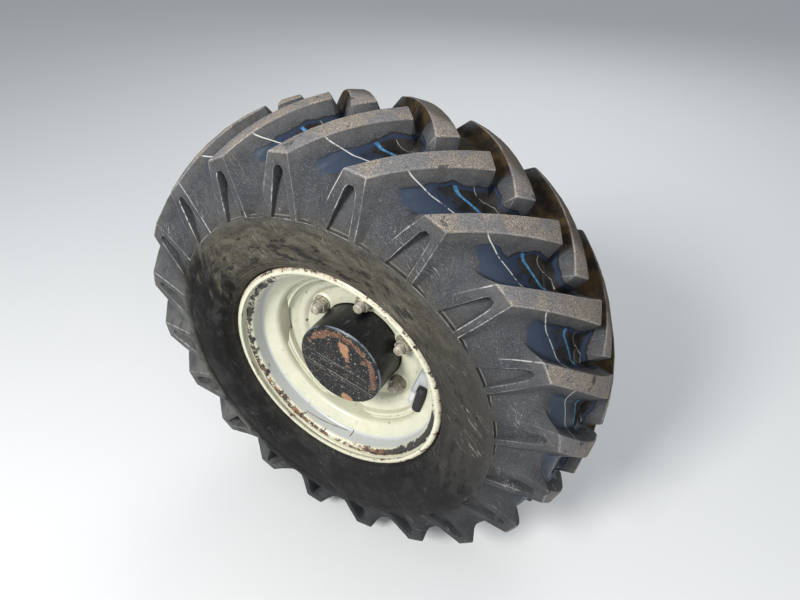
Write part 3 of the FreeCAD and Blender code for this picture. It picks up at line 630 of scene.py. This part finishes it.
def steel_of_studs(name, dark, light):
    """Dull steel with overspray and dust, worn on its edges."""
    f = Finish(name)
    mottle = f.noise(240.0, 5.0, 0.7)
    blots = f.noise(90.0, 4.0, 0.6)
    colour = f.mix(f.rise(mottle, 0.35, 0.68), dark, light)
    colour = f.mix(f.rise(blots, 0.52, 0.66) * 0.7, colour, (0.52, 0.48, 0.33))
    colour = f.mix(f.rise(f.noise(330.0, 3.0, 0.6), 0.62, 0.70) * 0.8, colour, (0.060, 0.045, 0.034))
    colour = f.mix(f.worn(0.10, 0.25) * 0.4, colour, (0.56, 0.54, 0.48))
    f.set(Base_Color=colour, Metallic=0.25, Roughness=0.42 + mottle * 0.3)
    f.bump(mottle, 0.3 * mm, 0.5)
    return f.material


def sheet_of_guard():
    """Grey-white painted sheet, chalky, chipped along its edges, with painted shade on its upper part."""
    f = Finish("guard_sheet")
    mottle = f.noise(160.0, 6.0, 0.7)
    cloud = f.noise(45.0, 4.0, 0.6)
    # Painted shade: the guard's upper part and slope darker blue-grey
    upper = f.rise(f.up + (cloud - 0.5) * 16 * mm, -30 * mm, -22 * mm)
    colour = f.mix(f.rise(cloud, 0.4, 0.62), (0.40, 0.41, 0.41), (0.54, 0.54, 0.52))
    colour = f.mix(upper * 0.9, colour, (0.215, 0.225, 0.225))
    colour = f.mix(f.rise(mottle + f.worn(0.06, 0.2) * 0.14, 0.66, 0.69), colour, (0.055, 0.045, 0.036))
    f.set(Base_Color=colour, Roughness=0.36 + mottle * 0.25)
    f.bump(mottle, 0.25 * mm, 0.6)
    return f.material


def dull_rubber(name, shade):
    f = Finish(name)
    grit = f.noise(420.0, 5.0, 0.7)
    light = tuple(part * 2.6 for part in shade)
    f.set(Base_Color=f.mix(f.rise(grit, 0.5, 0.75), shade, light), Roughness=0.55 + grit * 0.3)
    f.bump(grit, 0.3 * mm, 0.6)
    return f.material


def turned_steel(name, shade, oil):
    """Machined steel with fine turning marks under a brown film of oil."""
    f = Finish(name)
    film = f.noise(34.0, 5.0, 0.6)
    marks = f.noise(1.0, 3.0, 0.6, f.vector(f.side * 2600.0, f.radius * 2600.0, 0.0))
    colour = f.mix(f.rise(film, 0.42, 0.62) * 0.75, shade, oil)
    f.set(Base_Color=colour, Metallic=0.85, Roughness=0.28 + film * 0.25)
    f.bump(marks, 0.05 * mm, 0.5)
    return f.material


def paint_of_casting():
    """Grey painted casting with a rough skin, dust on top and oil low down."""
    f = Finish("arm_casting_paint")
    skin = f.noise(230.0, 6.0, 0.7)
    cloud = f.noise(20.0, 5.0, 0.62)
    colour = f.mix(f.rise(cloud, 0.35, 0.65), (0.085, 0.090, 0.095), (0.125, 0.130, 0.135))
    dust = f.rise(f.up + (cloud - 0.5) * 90 * mm, 20 * mm, 75 * mm)
    colour = f.mix(dust * 0.7, colour, (0.21, 0.185, 0.145))
    oil = f.rise(f.up + (cloud - 0.5) * 80 * mm, -30 * mm, -70 * mm)
    colour = f.mix(oil * 0.8, colour, (0.022, 0.020, 0.018))
    rust = f.rise(f.noise(60.0, 6.0, 0.75), 0.64, 0.68)
    colour = f.mix(rust * 0.8, colour, (0.19, 0.085, 0.040))
    f.set(Base_Color=colour, Roughness=f.between(oil, 0.62 + skin * 0.2, 0.34))
    f.bump(skin + cloud * 0.4, 0.8 * mm, 0.6)
    return f.material


def lug_edge(x, middle_angle, shoulder_angle, sag):
    """Angle of one long edge of a lug's top, at x from the middle plane."""
    u = x / tread_half_width
    return middle_angle + (shoulder_angle - middle_angle) * u + sag * u * (u - 1)


def rear_edge(x):
    return lug_edge(x, -16.8, 0.0, 4.3)


def front_edge(x):
    return lug_edge(x, -22.8, -4.9, 2.6)


def top_radius(x):
    return crown_radius - shoulder_drop * (x / tread_half_width) ** 2


def floor_radius(x):
    return blend_points([(a * mm, b * mm) for a, b in floor_line], abs(x))


def slope_reach(x, angle_at):
    """How far round, in degrees, a flank's foot lies from its top edge."""
    step = 2 * mm
    radius = floor_radius(x)
    around_rim = math.radians(angle_at(x + step) - angle_at(x - step)) * radius
    lean = math.atan2(2 * step, around_rim)
    height = top_radius(x) - radius
    return math.degrees(height * math.tan(math.radians(flank_draft)) / math.sin(lean) / radius)


def lug_stations():
    """Cross sections of a lug from its nose to the foot of its skirt.

    Each holds its rails as (x, radius, angle), in the order rear flare, rear foot, rear edge, pocket rear,
    pocket front, front edge, front foot, front flare, and last the way into the carcass as (x, radius).
    """
    stations = []
    rear_nose = (-22 * mm, rear_edge(-22 * mm))
    front_nose = (8 * mm, front_edge(8 * mm))
    lug_lean = math.radians(43)
    floor = floor_radius(0)
    run = Vector((-math.sin(lug_lean), -math.cos(lug_lean)))
    square = Vector((-math.cos(lug_lean), math.sin(lug_lean)))
    flank_run = (crown_radius - floor) * math.tan(math.radians(flank_draft))
    nose_run = (crown_radius - floor) * math.tan(math.radians(nose_draft))
    flare = 13 * mm

    def moved(corner, forward, sideways, radius):
        shift = run * forward + square * sideways
        return (corner[0] + shift.x, radius, corner[1] + math.degrees(shift.y / floor))

    def nose_station(forward, edge_radius, foot_radius):
        rear = [moved(rear_nose, forward, side, radius) for side, radius in
                ((flank_run + flare, foot_radius), (flank_run, foot_radius), (0, edge_radius))]
        front = [moved(front_nose, forward, -side, radius) for side, radius in
                 ((0, edge_radius), (flank_run, foot_radius), (flank_run + flare, foot_radius))]
        pocket = [tuple(a + (b - a) * share for a, b in zip(rear[2], front[0])) for share in (0.35, 0.7)]
        stations.append((rear + pocket + front, (0.0, -1.0)))

    sunk = floor - 0.4 * mm
    nose_station(nose_run + flare, sunk, sunk)
    nose_station(nose_run, floor, floor)
    nose_station(0.0, crown_radius, floor)

    for rear_x, front_x in ((14, 30), (42, 50), (70, 74), (92, 94), (110, 111)):
        rear_x *= mm
        front_x *= mm
        rear = rear_edge(rear_x)
        front = front_edge(front_x)
        rear_reach = slope_reach(rear_x, rear_edge)
        front_reach = slope_reach(front_x, front_edge)
        spread = math.degrees(flare / floor)
        low_rear = floor_radius(rear_x)
        low_front = floor_radius(front_x)
        sections = [
            (rear_x, low_rear - 0.4 * mm, rear + rear_reach + spread),
            (rear_x, low_rear, rear + rear_reach),
            (rear_x, top_radius(rear_x), rear),
            (rear_x, top_radius(rear_x), rear + (front - rear) * 0.35),
            (front_x, top_radius(front_x), rear + (front - rear) * 0.7),
            (front_x, top_radius(front_x), front),
            (front_x, low_front, front - front_reach),
            (front_x, low_front - 0.4 * mm, front - front_reach - spread),
        ]
        stations.append((sections, (0.0, -1.0)))

    # columns: edge x, edge radius, foot x, foot radius, then the angles of rear flare, rear foot, rear edge,
    # pocket rear, pocket front, front edge, front foot and front flare, then the way into the carcass
    skirt = [
        (139, 412, 122, 385, 5.0, 3.0, 0.0, -1.6, -3.0, -4.9, -9.0, -10.6, (-0.5, -0.87)),
        (142.6, 392, 129, 370, 6.8, 4.6, 1.0, -1.6, -2.8, -5.2, -8.7, -10.2, (-0.8, -0.6)),
        (143.8, 385, 131, 366, 7.1, 5.0, 1.4, -0.9, -3.45, -5.3, -8.6, -9.9, (-0.85, -0.5)),
        (146.4, 371, 136, 355, 8.0, 6.0, 2.2, -0.4, -3.75, -5.6, -8.4, -9.5, (-0.9, -0.4)),
        (151.4, 344, 143, 335, 9.3, 8.2, 3.7, 0.8, -4.15, -6.1, -8.1, -8.8, (-0.95, -0.3)),
        (156.9, 316, 150.2, 317, 10.2, 9.8, 5.2, 2.0, -4.5, -6.5, -7.9, -8.1, (-1.0, 0.0)),
        (155.5, 304, 148.5, 304, 10.2, 9.8, 5.2, 2.0, -4.5, -6.5, -7.9, -8.1, (-1.0, 0.0)),
    ]
    for edge_x, edge_radius, foot_x, foot_radius, *angles, inward in skirt:
        sinking = [(-0.4, 0), (0, 0), (0, 1), (0, 1), (0, 1), (0, 1), (0, 0), (-0.4, 0)]
        rails = []
        for angle, (sink, is_edge) in zip(angles, sinking):
            x, radius = (edge_x, edge_radius) if is_edge else (foot_x, foot_radius)
            rails.append(((x - inward[0] * sink) * mm, (radius - inward[1] * sink) * mm, angle))
        stations.append((rails, inward))
    return stations


def lug_ring(rails, inward):
    """Closed ring of points round one section: rounded feet, edges, and the buried underside."""
    rear_flare, rear_foot, rear_top, pocket_rear, pocket_front, front_top, front_foot, front_flare = (
        at(*rail) for rail in rails)
    sink = Vector((0, -inward[0], 0)) * bury

    def buried(point):
        outward = Vector((point.x, 0, point.z)).normalized()
        return point + sink + outward * inward[1] * bury

    def foot_round(top, foot, flare):
        start = foot.lerp(top, min(0.8, 10 * mm / (top - foot).length))
        return [start.lerp(foot, t).lerp(foot.lerp(flare, t), t) for t in (0.0, 0.33, 0.67, 1.0)]

    rear = foot_round(rear_top, rear_foot, rear_flare)
    front = foot_round(front_top, front_foot, front_flare)
    return ([buried(rear_flare)] + rear[::-1] + [rear_top, pocket_rear, pocket_front, front_top] + front
            + [buried(front_flare)])


def lug_rings(turn):
    rings = []
    for rails, inward in lug_stations():
        rings.append(lug_ring([(x, radius, angle + turn) for x, radius, angle in rails], inward))
    return rings


def floor_x(radius):
    return blend_points([(-b * mm, a * mm) for a, b in floor_line], -radius)


def pushed_in(point):
    """Where a point of a pocket's rim goes when the pocket is sunk just under the gap's floor."""
    radius = math.hypot(point.x, point.z)
    deep = max(radius - 4 * mm, skirt_radius - 2 * mm)
    share = deep / radius
    return Vector((point.x * share, -middle_out - floor_x(deep) + 2 * mm, point.z * share))


def one_lug():
    """A lug lofted through its stations, its pocket sunk and its upper edges rounded."""
    rings = lug_rings(first_shoulder_angle)
    columns = len(rings[0])
    rows = len(rings) - 1
    pocket_rows = range(rows - 5, rows - 1)
    bm = bmesh.new()
    bmesh.ops.create_grid(bm, x_segments=columns, y_segments=rows, size=0.5)
    pocket = []
    for face in bm.faces:
        centre = face.calc_center_median()
        row = math.floor((centre.y + 0.5) * rows)
        column = math.floor((centre.x + 0.5) * columns)
        if column == POCKET_COLUMN and row in pocket_rows:
            pocket.append(face)
    upper = []
    for vert in bm.verts:
        column = round((vert.co.x + 0.5) * columns)
        row = round((vert.co.y + 0.5) * rows)
        vert.co = rings[row][column % columns]
        if column in UPPER_COLUMNS and row < rows:
            upper.append(vert)
    sunk = bmesh.ops.extrude_face_region(bm, geom=pocket)["geom"]
    for vert in sunk:
        if isinstance(vert, bmesh.types.BMVert):
            vert.co = pushed_in(vert.co)
    bmesh.ops.delete(bm, geom=pocket, context="FACES")
    bmesh.ops.remove_doubles(bm, verts=bm.verts, dist=0.005 * mm)
    bmesh.ops.holes_fill(bm, edges=bm.edges, sides=0)
    bmesh.ops.recalc_face_normals(bm, faces=bm.faces)
    upper = {vert for vert in upper if vert.is_valid}
    sharp = [edge for edge in bm.edges if set(edge.verts) <= upper and len(edge.link_faces) == 2
             and edge.calc_face_angle_signed(0.0) > math.radians(24)]
    bmesh.ops.bevel(bm, geom=sharp, offset=1.8 * mm, segments=2, profile=0.5, affect="EDGES", material=-1,
                    clamp_overlap=False)
    for vert in bm.verts:
        vert.co.y = max(vert.co.y, -middle_out - widest_x)
    return bm


def ring_of_lugs(name, far_side):
    """All the lugs of one side of the tread; the far side's are mirrored and half a pitch round."""
    bm = one_lug()
    if far_side:
        middle = Matrix.Translation((0, middle_out, 0))
        bmesh.ops.scale(bm, vec=(1, -1, 1), space=middle, verts=bm.verts)
        bmesh.ops.rotate(bm, cent=(0, 0, 0), matrix=Matrix.Rotation(math.radians(far_side_stagger), 3, "Y"),
                         verts=bm.verts)
        bmesh.ops.reverse_faces(bm, faces=bm.faces)
    bmesh.ops.spin(bm, geom=bm.verts[:] + bm.edges[:] + bm.faces[:], cent=(0, 0, 0), axis=(0, 1, 0),
                   dvec=(0, 0, 0), angle=math.radians(360 - lug_pitch), steps=lug_count - 1,
                   use_duplicate=True)
    return loose_object(name, bm)


def casing():
    """Casing of the tyre with its gaps' floor, sidewalls, beads and air space, as one closed turning."""
    floor_bends = (0, 150, 60, 30, 60, 40, 0)
    half = [(x, radius, bend) for (x, radius), bend in zip(floor_line, floor_bends)]
    half += [(widest_x / mm, 316, 1), (156.6, 298, 0), (155.8, 296.6, 0), (156.3, 295.2, 0), (155, 268, 60),
             (149, 240, 20)]
    for rib in (233, 228, 223):
        x = 149 - (240 - rib) * 0.6
        half += [(x + 0.4, rib + 1.2, 0), (x + 0.9, rib, 0), (x - 0.6, rib - 1.2, 0)]
    half += [(134, 217.5, 3), (120, 214.4, 3), (114.3, 213.8, 4), (114.3, 194.3, 5), (88, 194.3, 0)]
    inside = [(88, 216, 8), (112, 246, 20), (130, 300, 40), (127, 338, 40), (98, 366, 40), (0, 384, 0)]
    points = bent(half + inside)
    outline = points + [Vector((-p.x, p.y)) for p in points[-2:0:-1]]
    bm = bmesh.new()
    spun(bm, outline, tread_segments, closed=True)
    return loose_object("casing", bm)


def tyre_piece():
    tyre = joined(casing(), ring_of_lugs("near_lugs", False))
    tyre = joined(tyre, ring_of_lugs("far_lugs", True))
    finished(tyre, "tyre_with_lugs", "wheel", rubber_of_tyre(), ["tyre"])


def rim_piece(paint):
    """Rolled rim with curled flanges, bead seats and well, and the valve's hole."""
    mirrored = [(-x, radius, bend) for x, radius, bend in rim_line[::-1]]
    rim = sheet("rim", rim_line + mirrored, rim_wall, wheel_segments)
    hole = turning("hole", [(-10, 0, 0), (10, 0, 0), (10, 8.2, 0), (-10, 8.2, 0)], 32)
    rim = joined(rim, placed(hole, radial_place(well_radius)), "DIFFERENCE")
    finished(rim, "rim_with_flanges", "wheel", paint, ["rim_barrel"])


def radial_place(radius):
    """From a turning about the wheel's axis, at x 0, to one about the valve's axis; its x points inwards."""
    stand = Matrix.Rotation(math.radians(90), 4, "Z")
    moved_out = Matrix.Translation(at(valve_x, radius))
    return turned_by(valve_angle) @ moved_out @ stand @ Matrix.Translation((0, middle_out, 0))


def weld_bead():
    """Uneven bead of weld between the disc's skirt and the rim's well."""
    bm = bmesh.new()
    ring = [Vector((61.8 * mm, 158.2 * mm)) + Vector((math.cos(t), math.sin(t))) * 2.6 * mm
            for t in (2 * math.pi * k / 8 for k in range(8))]
    spun(bm, ring, wheel_segments * 2, closed=True)
    bm.normal_update()
    for vert in bm.verts:
        vert.co += vert.normal * (noise.noise(vert.co * 220.0) * 0.9 * mm + 0.2 * mm)
    return loose_object("bead", bm)


def disc_piece(paint):
    """Dished disc with pressed rings, a raised seat round each stud, four notches, and its weld."""
    disc = sheet("disc", disc_line, disc_wall, wheel_segments)
    for angle in around(stud_count, stud_first_angle):
        seat = turning("seat", [(26, 0, 0), (26, 23.5, 0), (32.8, 23.5, 1), (35.8, 20, 1.5),
                                (35.8, 18.6, 0.8), (32.8, 16.6, 0), (32.8, 0, 0)], 64, 3)
        disc = joined(disc, placed(seat, on_stud(angle)))
    disc = joined(disc, weld_bead())
    for angle in around(4, notch_first_angle):
        bm = bmesh.new()
        bmesh.ops.create_cube(bm, size=1.0)
        bmesh.ops.scale(bm, vec=(40 * mm, 40 * mm, 300 * mm), verts=bm.verts)
        bmesh.ops.translate(bm, vec=at(notch_floor_x + 20 * mm, notch_distance + 20 * mm), verts=bm.verts)
        disc = joined(disc, placed(loose_object("notch", bm), turned_by(angle)), "DIFFERENCE")
    middle = turning("middle", [(10, 0, 0), (50, 0, 0), (50, 85.5, 0), (10, 85.5, 0)], wheel_segments)
    disc = joined(disc, middle, "DIFFERENCE")
    for angle in around(stud_count, stud_first_angle):
        hole = turning("hole", [(15, 0, 0), (45, 0, 0), (45, 10.5, 0), (15, 10.5, 0)], 48)
        disc = joined(disc, placed(hole, on_stud(angle)), "DIFFERENCE")
    finished(disc, "disc_with_notches", "wheel", paint, ["wheel_disc"])


def cap_piece(paint):
    cap = turning("cap", cap_line, 160)
    finished(cap, "deep_round_cap", "wheel", paint, ["hub_cap"])


def thread(first_x, last_x, radius, pitch=1.5, depth=0.8):
    """Outline of a threaded rod's side, ring by ring, in mm."""
    rings = int((last_x - first_x) / pitch)
    line = []
    for k in range(rings):
        x = first_x + k * pitch
        line += [(x, radius, 0), (x + pitch * 0.25, radius, 0), (x + pitch * 0.5, radius - depth, 0),
                 (x + pitch * 0.75, radius - depth, 0)]
    return line


def stud(number, angle, finish):
    """Threaded stud with a chamfered, centred end."""
    side = thread(49.0, 61.6, 9.0)
    outline = [(0.8, 0, 0), (0.8, 9, 0), (33, 9, 0)] + side + [(61.8, 9, 0), (63.4, 7.4, 0.4), (63.4, 2.4, 0),
                                                                (62.2, 0, 0)]
    piece = placed(turning("stud", outline, 40, 2), on_stud(angle))
    finished(piece, f"threaded_stud_{number}", "wheel", finish, [f"wheel_stud_{number}"], 25.0)


def hexagon(across_flats, from_x, to_x):
    """Six-sided prism about the wheel's axis."""
    bm = bmesh.new()
    bmesh.ops.create_circle(bm, cap_ends=True, segments=6, radius=across_flats / math.sqrt(3))
    bmesh.ops.rotate(bm, cent=(0, 0, 0), matrix=Matrix.Rotation(math.radians(90), 3, "X"), verts=bm.verts)
    bmesh.ops.translate(bm, vec=at(from_x, 0), verts=bm.verts)
    side = bmesh.ops.extrude_face_region(bm, geom=bm.faces[:])["geom"]
    moved = [vert for vert in side if isinstance(vert, bmesh.types.BMVert)]
    bmesh.ops.translate(bm, vec=at(to_x, 0) - at(from_x, 0), verts=moved)
    return loose_object("hexagon", bm)


def nut(number, angle, finish, spin):
    """Hexagon nut on its conical collar, its corners turned off and its bore chamfered."""
    flat = nut_across_flats / 2 / mm
    form = turning("form", [(30, 0, 0), (30, 17, 0), (46.6, 17, 0), (49.7, flat - 0.4, 0), (49.7, 0, 0)], 64)
    body = joined(hexagon(nut_across_flats, nut_face_x, nut_face_x + nut_height), form, "INTERSECT")
    collar = turning("collar", [(32.7, 0, 0), (32.7, 14.6, 0), (34.2, 16, 0.8), (36.7, 16, 0.8),
                                (37.6, 13, 0), (37.6, 0, 0)], 64, 3)
    body = joined(body, collar)
    bore = turning("bore", [(30, 0, 0), (30, 9.1, 0), (48.3, 9.1, 0), (50.2, 10.8, 0), (50.2, 0, 0)], 48)
    body = rounded_edges(joined(body, bore, "DIFFERENCE"), 0.5 * mm, 2, 28.0)
    piece = placed(body, on_stud(angle) @ turned_by(spin))
    finished(piece, f"hex_nut_{number}", "wheel", finish, [f"wheel_nut_{number}"], 30.0)


def valve_pieces():
    """Moulded rubber stem with a bulge at its root, and its ribbed cap; lengths run inwards from the well."""
    rubber = dull_rubber("valve_rubber", (0.009, 0.009, 0.009))
    stem = turning("stem", [(-8.4, 0, 0), (-8.4, 9.2, 0.6), (-5.4, 9.2, 0.6), (-5.4, 7.9, 0), (0, 7.9, 0),
                            (0.6, 8.8, 0.5), (3.4, 8.8, 1.2), (6.2, 7.2, 2), (15, 5.4, 0), (15, 0, 0)], 48, 4)
    finished(placed(stem, radial_place(well_radius)), "moulded_valve_stem", "wheel", rubber,
             ["valve_stem"])
    bm = bmesh.new()
    bmesh.ops.create_circle(bm, cap_ends=True, segments=36, radius=6 * mm)
    for i, vert in enumerate(bm.verts):
        vert.co *= 0.93 if i % 3 == 0 else 1.0
    bmesh.ops.rotate(bm, cent=(0, 0, 0), matrix=Matrix.Rotation(math.radians(90), 3, "X"), verts=bm.verts)
    bmesh.ops.translate(bm, vec=at(15 * mm, 0), verts=bm.verts)
    grown = bmesh.ops.extrude_face_region(bm, geom=bm.faces[:])["geom"]
    moved = [vert for vert in grown if isinstance(vert, bmesh.types.BMVert)]
    bmesh.ops.translate(bm, vec=at(23 * mm, 0) - at(15 * mm, 0), verts=moved)
    cap = rounded_edges(loose_object("cap", bm), 1.1 * mm, 3, 60.0)
    plastic = dull_rubber("valve_cap_plastic", (0.013, 0.013, 0.014))
    finished(placed(cap, radial_place(well_radius)), "ribbed_valve_cap", "wheel", plastic,
             ["valve_cap"])


def valve_boot():
    """Ribbed rubber boot on the valve, which lies along the rim in the mouth of its guard."""
    ribs = []
    for k in range(9):
        x = -11 + 5 * k
        ribs += [(x, 9.3, 0.5), (x + 2.8, 9.3, 0.5), (x + 3.4, 7.6, 0.3), (x + 4.4, 7.6, 0.3)]
    outline = [(-19, 0, 0), (-19, 5, 1), (-15, 8.0, 3)] + ribs
    outline += [(34.5, 9.3, 0.8), (37, 9.3, 1.2), (37, 5, 0.5), (34, 4, 0), (34, 0, 0)]
    boot = turning("boot", outline, 48, 2)
    lie = Matrix.Rotation(math.radians(90), 4, "X") @ Matrix.Translation((0, middle_out, 0))
    place = turned_by(guard_angle) @ Matrix.Translation(at(75 * mm, 152.2 * mm)) @ lie
    rubber = dull_rubber("boot_rubber", (0.010, 0.010, 0.010))
    finished(placed(boot, place), "ribbed_valve_boot", "wheel", rubber)


def block(side_view, radius_from, radius_to):
    """Block from a side view of (distance along the rim, x), between two distances from the axis, in mm."""
    bm = bmesh.new()
    corners = [bm.verts.new((radius_from * mm, -middle_out - x * mm, along * mm)) for along, x in side_view]
    bm.faces.new(corners)
    grown = bmesh.ops.extrude_face_region(bm, geom=bm.faces[:])["geom"]
    moved = [vert for vert in grown if isinstance(vert, bmesh.types.BMVert)]
    bmesh.ops.translate(bm, vec=((radius_to - radius_from) * mm, 0, 0), verts=moved)
    return loose_object("block", bm)


def guard_piece():
    """Bent sheet round the valve: inner wall with a lip, closed by a slope above and open below."""
    outside = block([(-32, 39.5), (-32, 80), (10, 80), (36, 54), (36, 39.5)], 132, 163)
    outside = rounded_edges(outside, 5 * mm, 4, 30.0)
    inside = block([(-40, 30), (-40, 77), (8.5, 77), (33, 52.5), (33, 30)], 135, 170)
    hood = joined(outside, rounded_edges(inside, 2.5 * mm, 3, 30.0), "DIFFERENCE")
    mouth = block([(-40, 69), (-40, 90), (21, 90), (21, 69)], 142.5, 170)
    hood = joined(hood, rounded_edges(mouth, 3 * mm, 3, 30.0), "DIFFERENCE")
    hood = rounded_edges(hood, 0.6 * mm, 2, 50.0)
    finished(placed(hood, turned_by(guard_angle)), "bent_valve_guard", "wheel",
             sheet_of_guard(), ["valve_guard"], 40.0)


def flange_bolts():
    """Ring of hexagon bolt heads on washers, which hold the spindle's flange to the arm."""
    finish = steel_of_studs("bolt_steel", (0.12, 0.115, 0.11), (0.24, 0.23, 0.215))
    seat = (395.3 - middle_out / mm)
    for number, angle in enumerate(around(8, 10.0), start=1):
        head = hexagon(13 * mm, (seat - 9.5) * mm, (seat - 1.5) * mm)
        form = turning("form", [(seat - 9.5, 0, 0), (seat - 9.5, 6.2, 0), (seat - 8.2, 8.2, 0),
                                (seat, 8.2, 0), (seat, 0, 0)], 32)
        head = joined(head, form, "INTERSECT")
        washer = turning("washer", [(seat - 1.8, 0, 0), (seat - 1.8, 7.6, 0.4), (seat + 0.2, 7.6, 0),
                                    (seat + 0.2, 0, 0)], 32, 2)
        head = rounded_edges(joined(head, washer), 0.35 * mm, 2, 28.0)
        turn = Matrix.Translation(at(0, 89.5 * mm, angle) - at(0, 0)) @ turned_by(angle)
        finished(placed(head, turn), f"flange_bolt_{number}", "axle_end", finish, (), 30.0)


def dress(node, finish):
    """Gives a CAD node that keeps its own shape a better material."""
    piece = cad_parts[node]
    for slot in piece.material_slots:
        slot.material = finish


def studio():
    """Pale floor under the tyre, soft light, and the camera at the picture's angle."""
    bpy.ops.mesh.primitive_plane_add(size=14, location=(0, 0, tyre_low.z))
    floor = bpy.context.object
    floor.name = "floor"
    pale = bpy.data.materials.new("pale_floor")
    pale.use_nodes = True
    shader = pale.node_tree.nodes["Principled BSDF"]
    shader.inputs["Base Color"].default_value = (0.62, 0.62, 0.61, 1)
    shader.inputs["Roughness"].default_value = 0.9
    floor.data.materials.append(pale)

    world = bpy.data.worlds.new("studio")
    bpy.context.scene.world = world
    world.use_nodes = True
    background = world.node_tree.nodes["Background"]
    background.inputs["Color"].default_value = (0.84, 0.91, 1.0, 1)
    background.inputs["Strength"].default_value = 0.5

    hub = Vector((0, -middle_out, 0))
    for name, place, size, power in (("key", (-0.5, -3.0, 2.0), 0.8, 128.0),
                                     ("fill", (2.0, -2.6, 1.5), 2.0, 36.0),
                                     ("back", (-0.6, 2.4, 2.2), 2.0, 44.0)):
        lamp = bpy.data.lights.new(name, "AREA")
        lamp.size = size
        lamp.energy = power
        holder = bpy.data.objects.new(name, lamp)
        holder.location = place
        holder.rotation_euler = (hub - Vector(place)).to_track_quat("-Z", "Y").to_euler()
        bpy.context.scene.collection.objects.link(holder)

    lens = bpy.data.cameras.new("camera")
    lens.sensor_width = 36
    lens.lens = 27.56
    camera = bpy.data.objects.new("camera", lens)
    camera.location = (0.4886, -1.2838, 0.7536)
    camera.rotation_euler = Vector((-0.3883, 0.7005, -0.5988)).to_track_quat("-Z", "Y").to_euler()
    bpy.context.scene.collection.objects.link(camera)
    bpy.context.scene.camera = camera
    bpy.context.scene.view_settings.view_transform = "Standard"


studio()
tyre_piece()
wheel_paint = paint_of_wheel()
hub_paint = paint_of_hub()
rim_piece(wheel_paint)
disc_piece(wheel_paint)
cap_piece(hub_paint)
stud_finish = steel_of_studs("stud_steel", (0.19, 0.165, 0.13), (0.37, 0.33, 0.26))
nut_finish = steel_of_studs("nut_steel", (0.16, 0.145, 0.115), (0.33, 0.30, 0.24))
nut_turns = (7, 23, 41, 12, 30, 52)
for index, stud_angle in enumerate(around(stud_count, stud_first_angle)):
    stud(index + 1, stud_angle, stud_finish)
    nut(index + 1, stud_angle, nut_finish, nut_turns[index])
valve_pieces()
valve_boot()
guard_piece()
flange_bolts()
dress("hub_body", hub_paint)
dress("half_shaft", turned_steel("shaft_steel", (0.46, 0.45, 0.43), (0.16, 0.12, 0.08)))
dress("spindle", turned_steel("spindle_steel", (0.40, 0.39, 0.37), (0.13, 0.10, 0.07)))
dress("seal_ring", dull_rubber("seal_rubber", (0.015, 0.013, 0.012)))
dress("axle_arm", paint_of_casting())
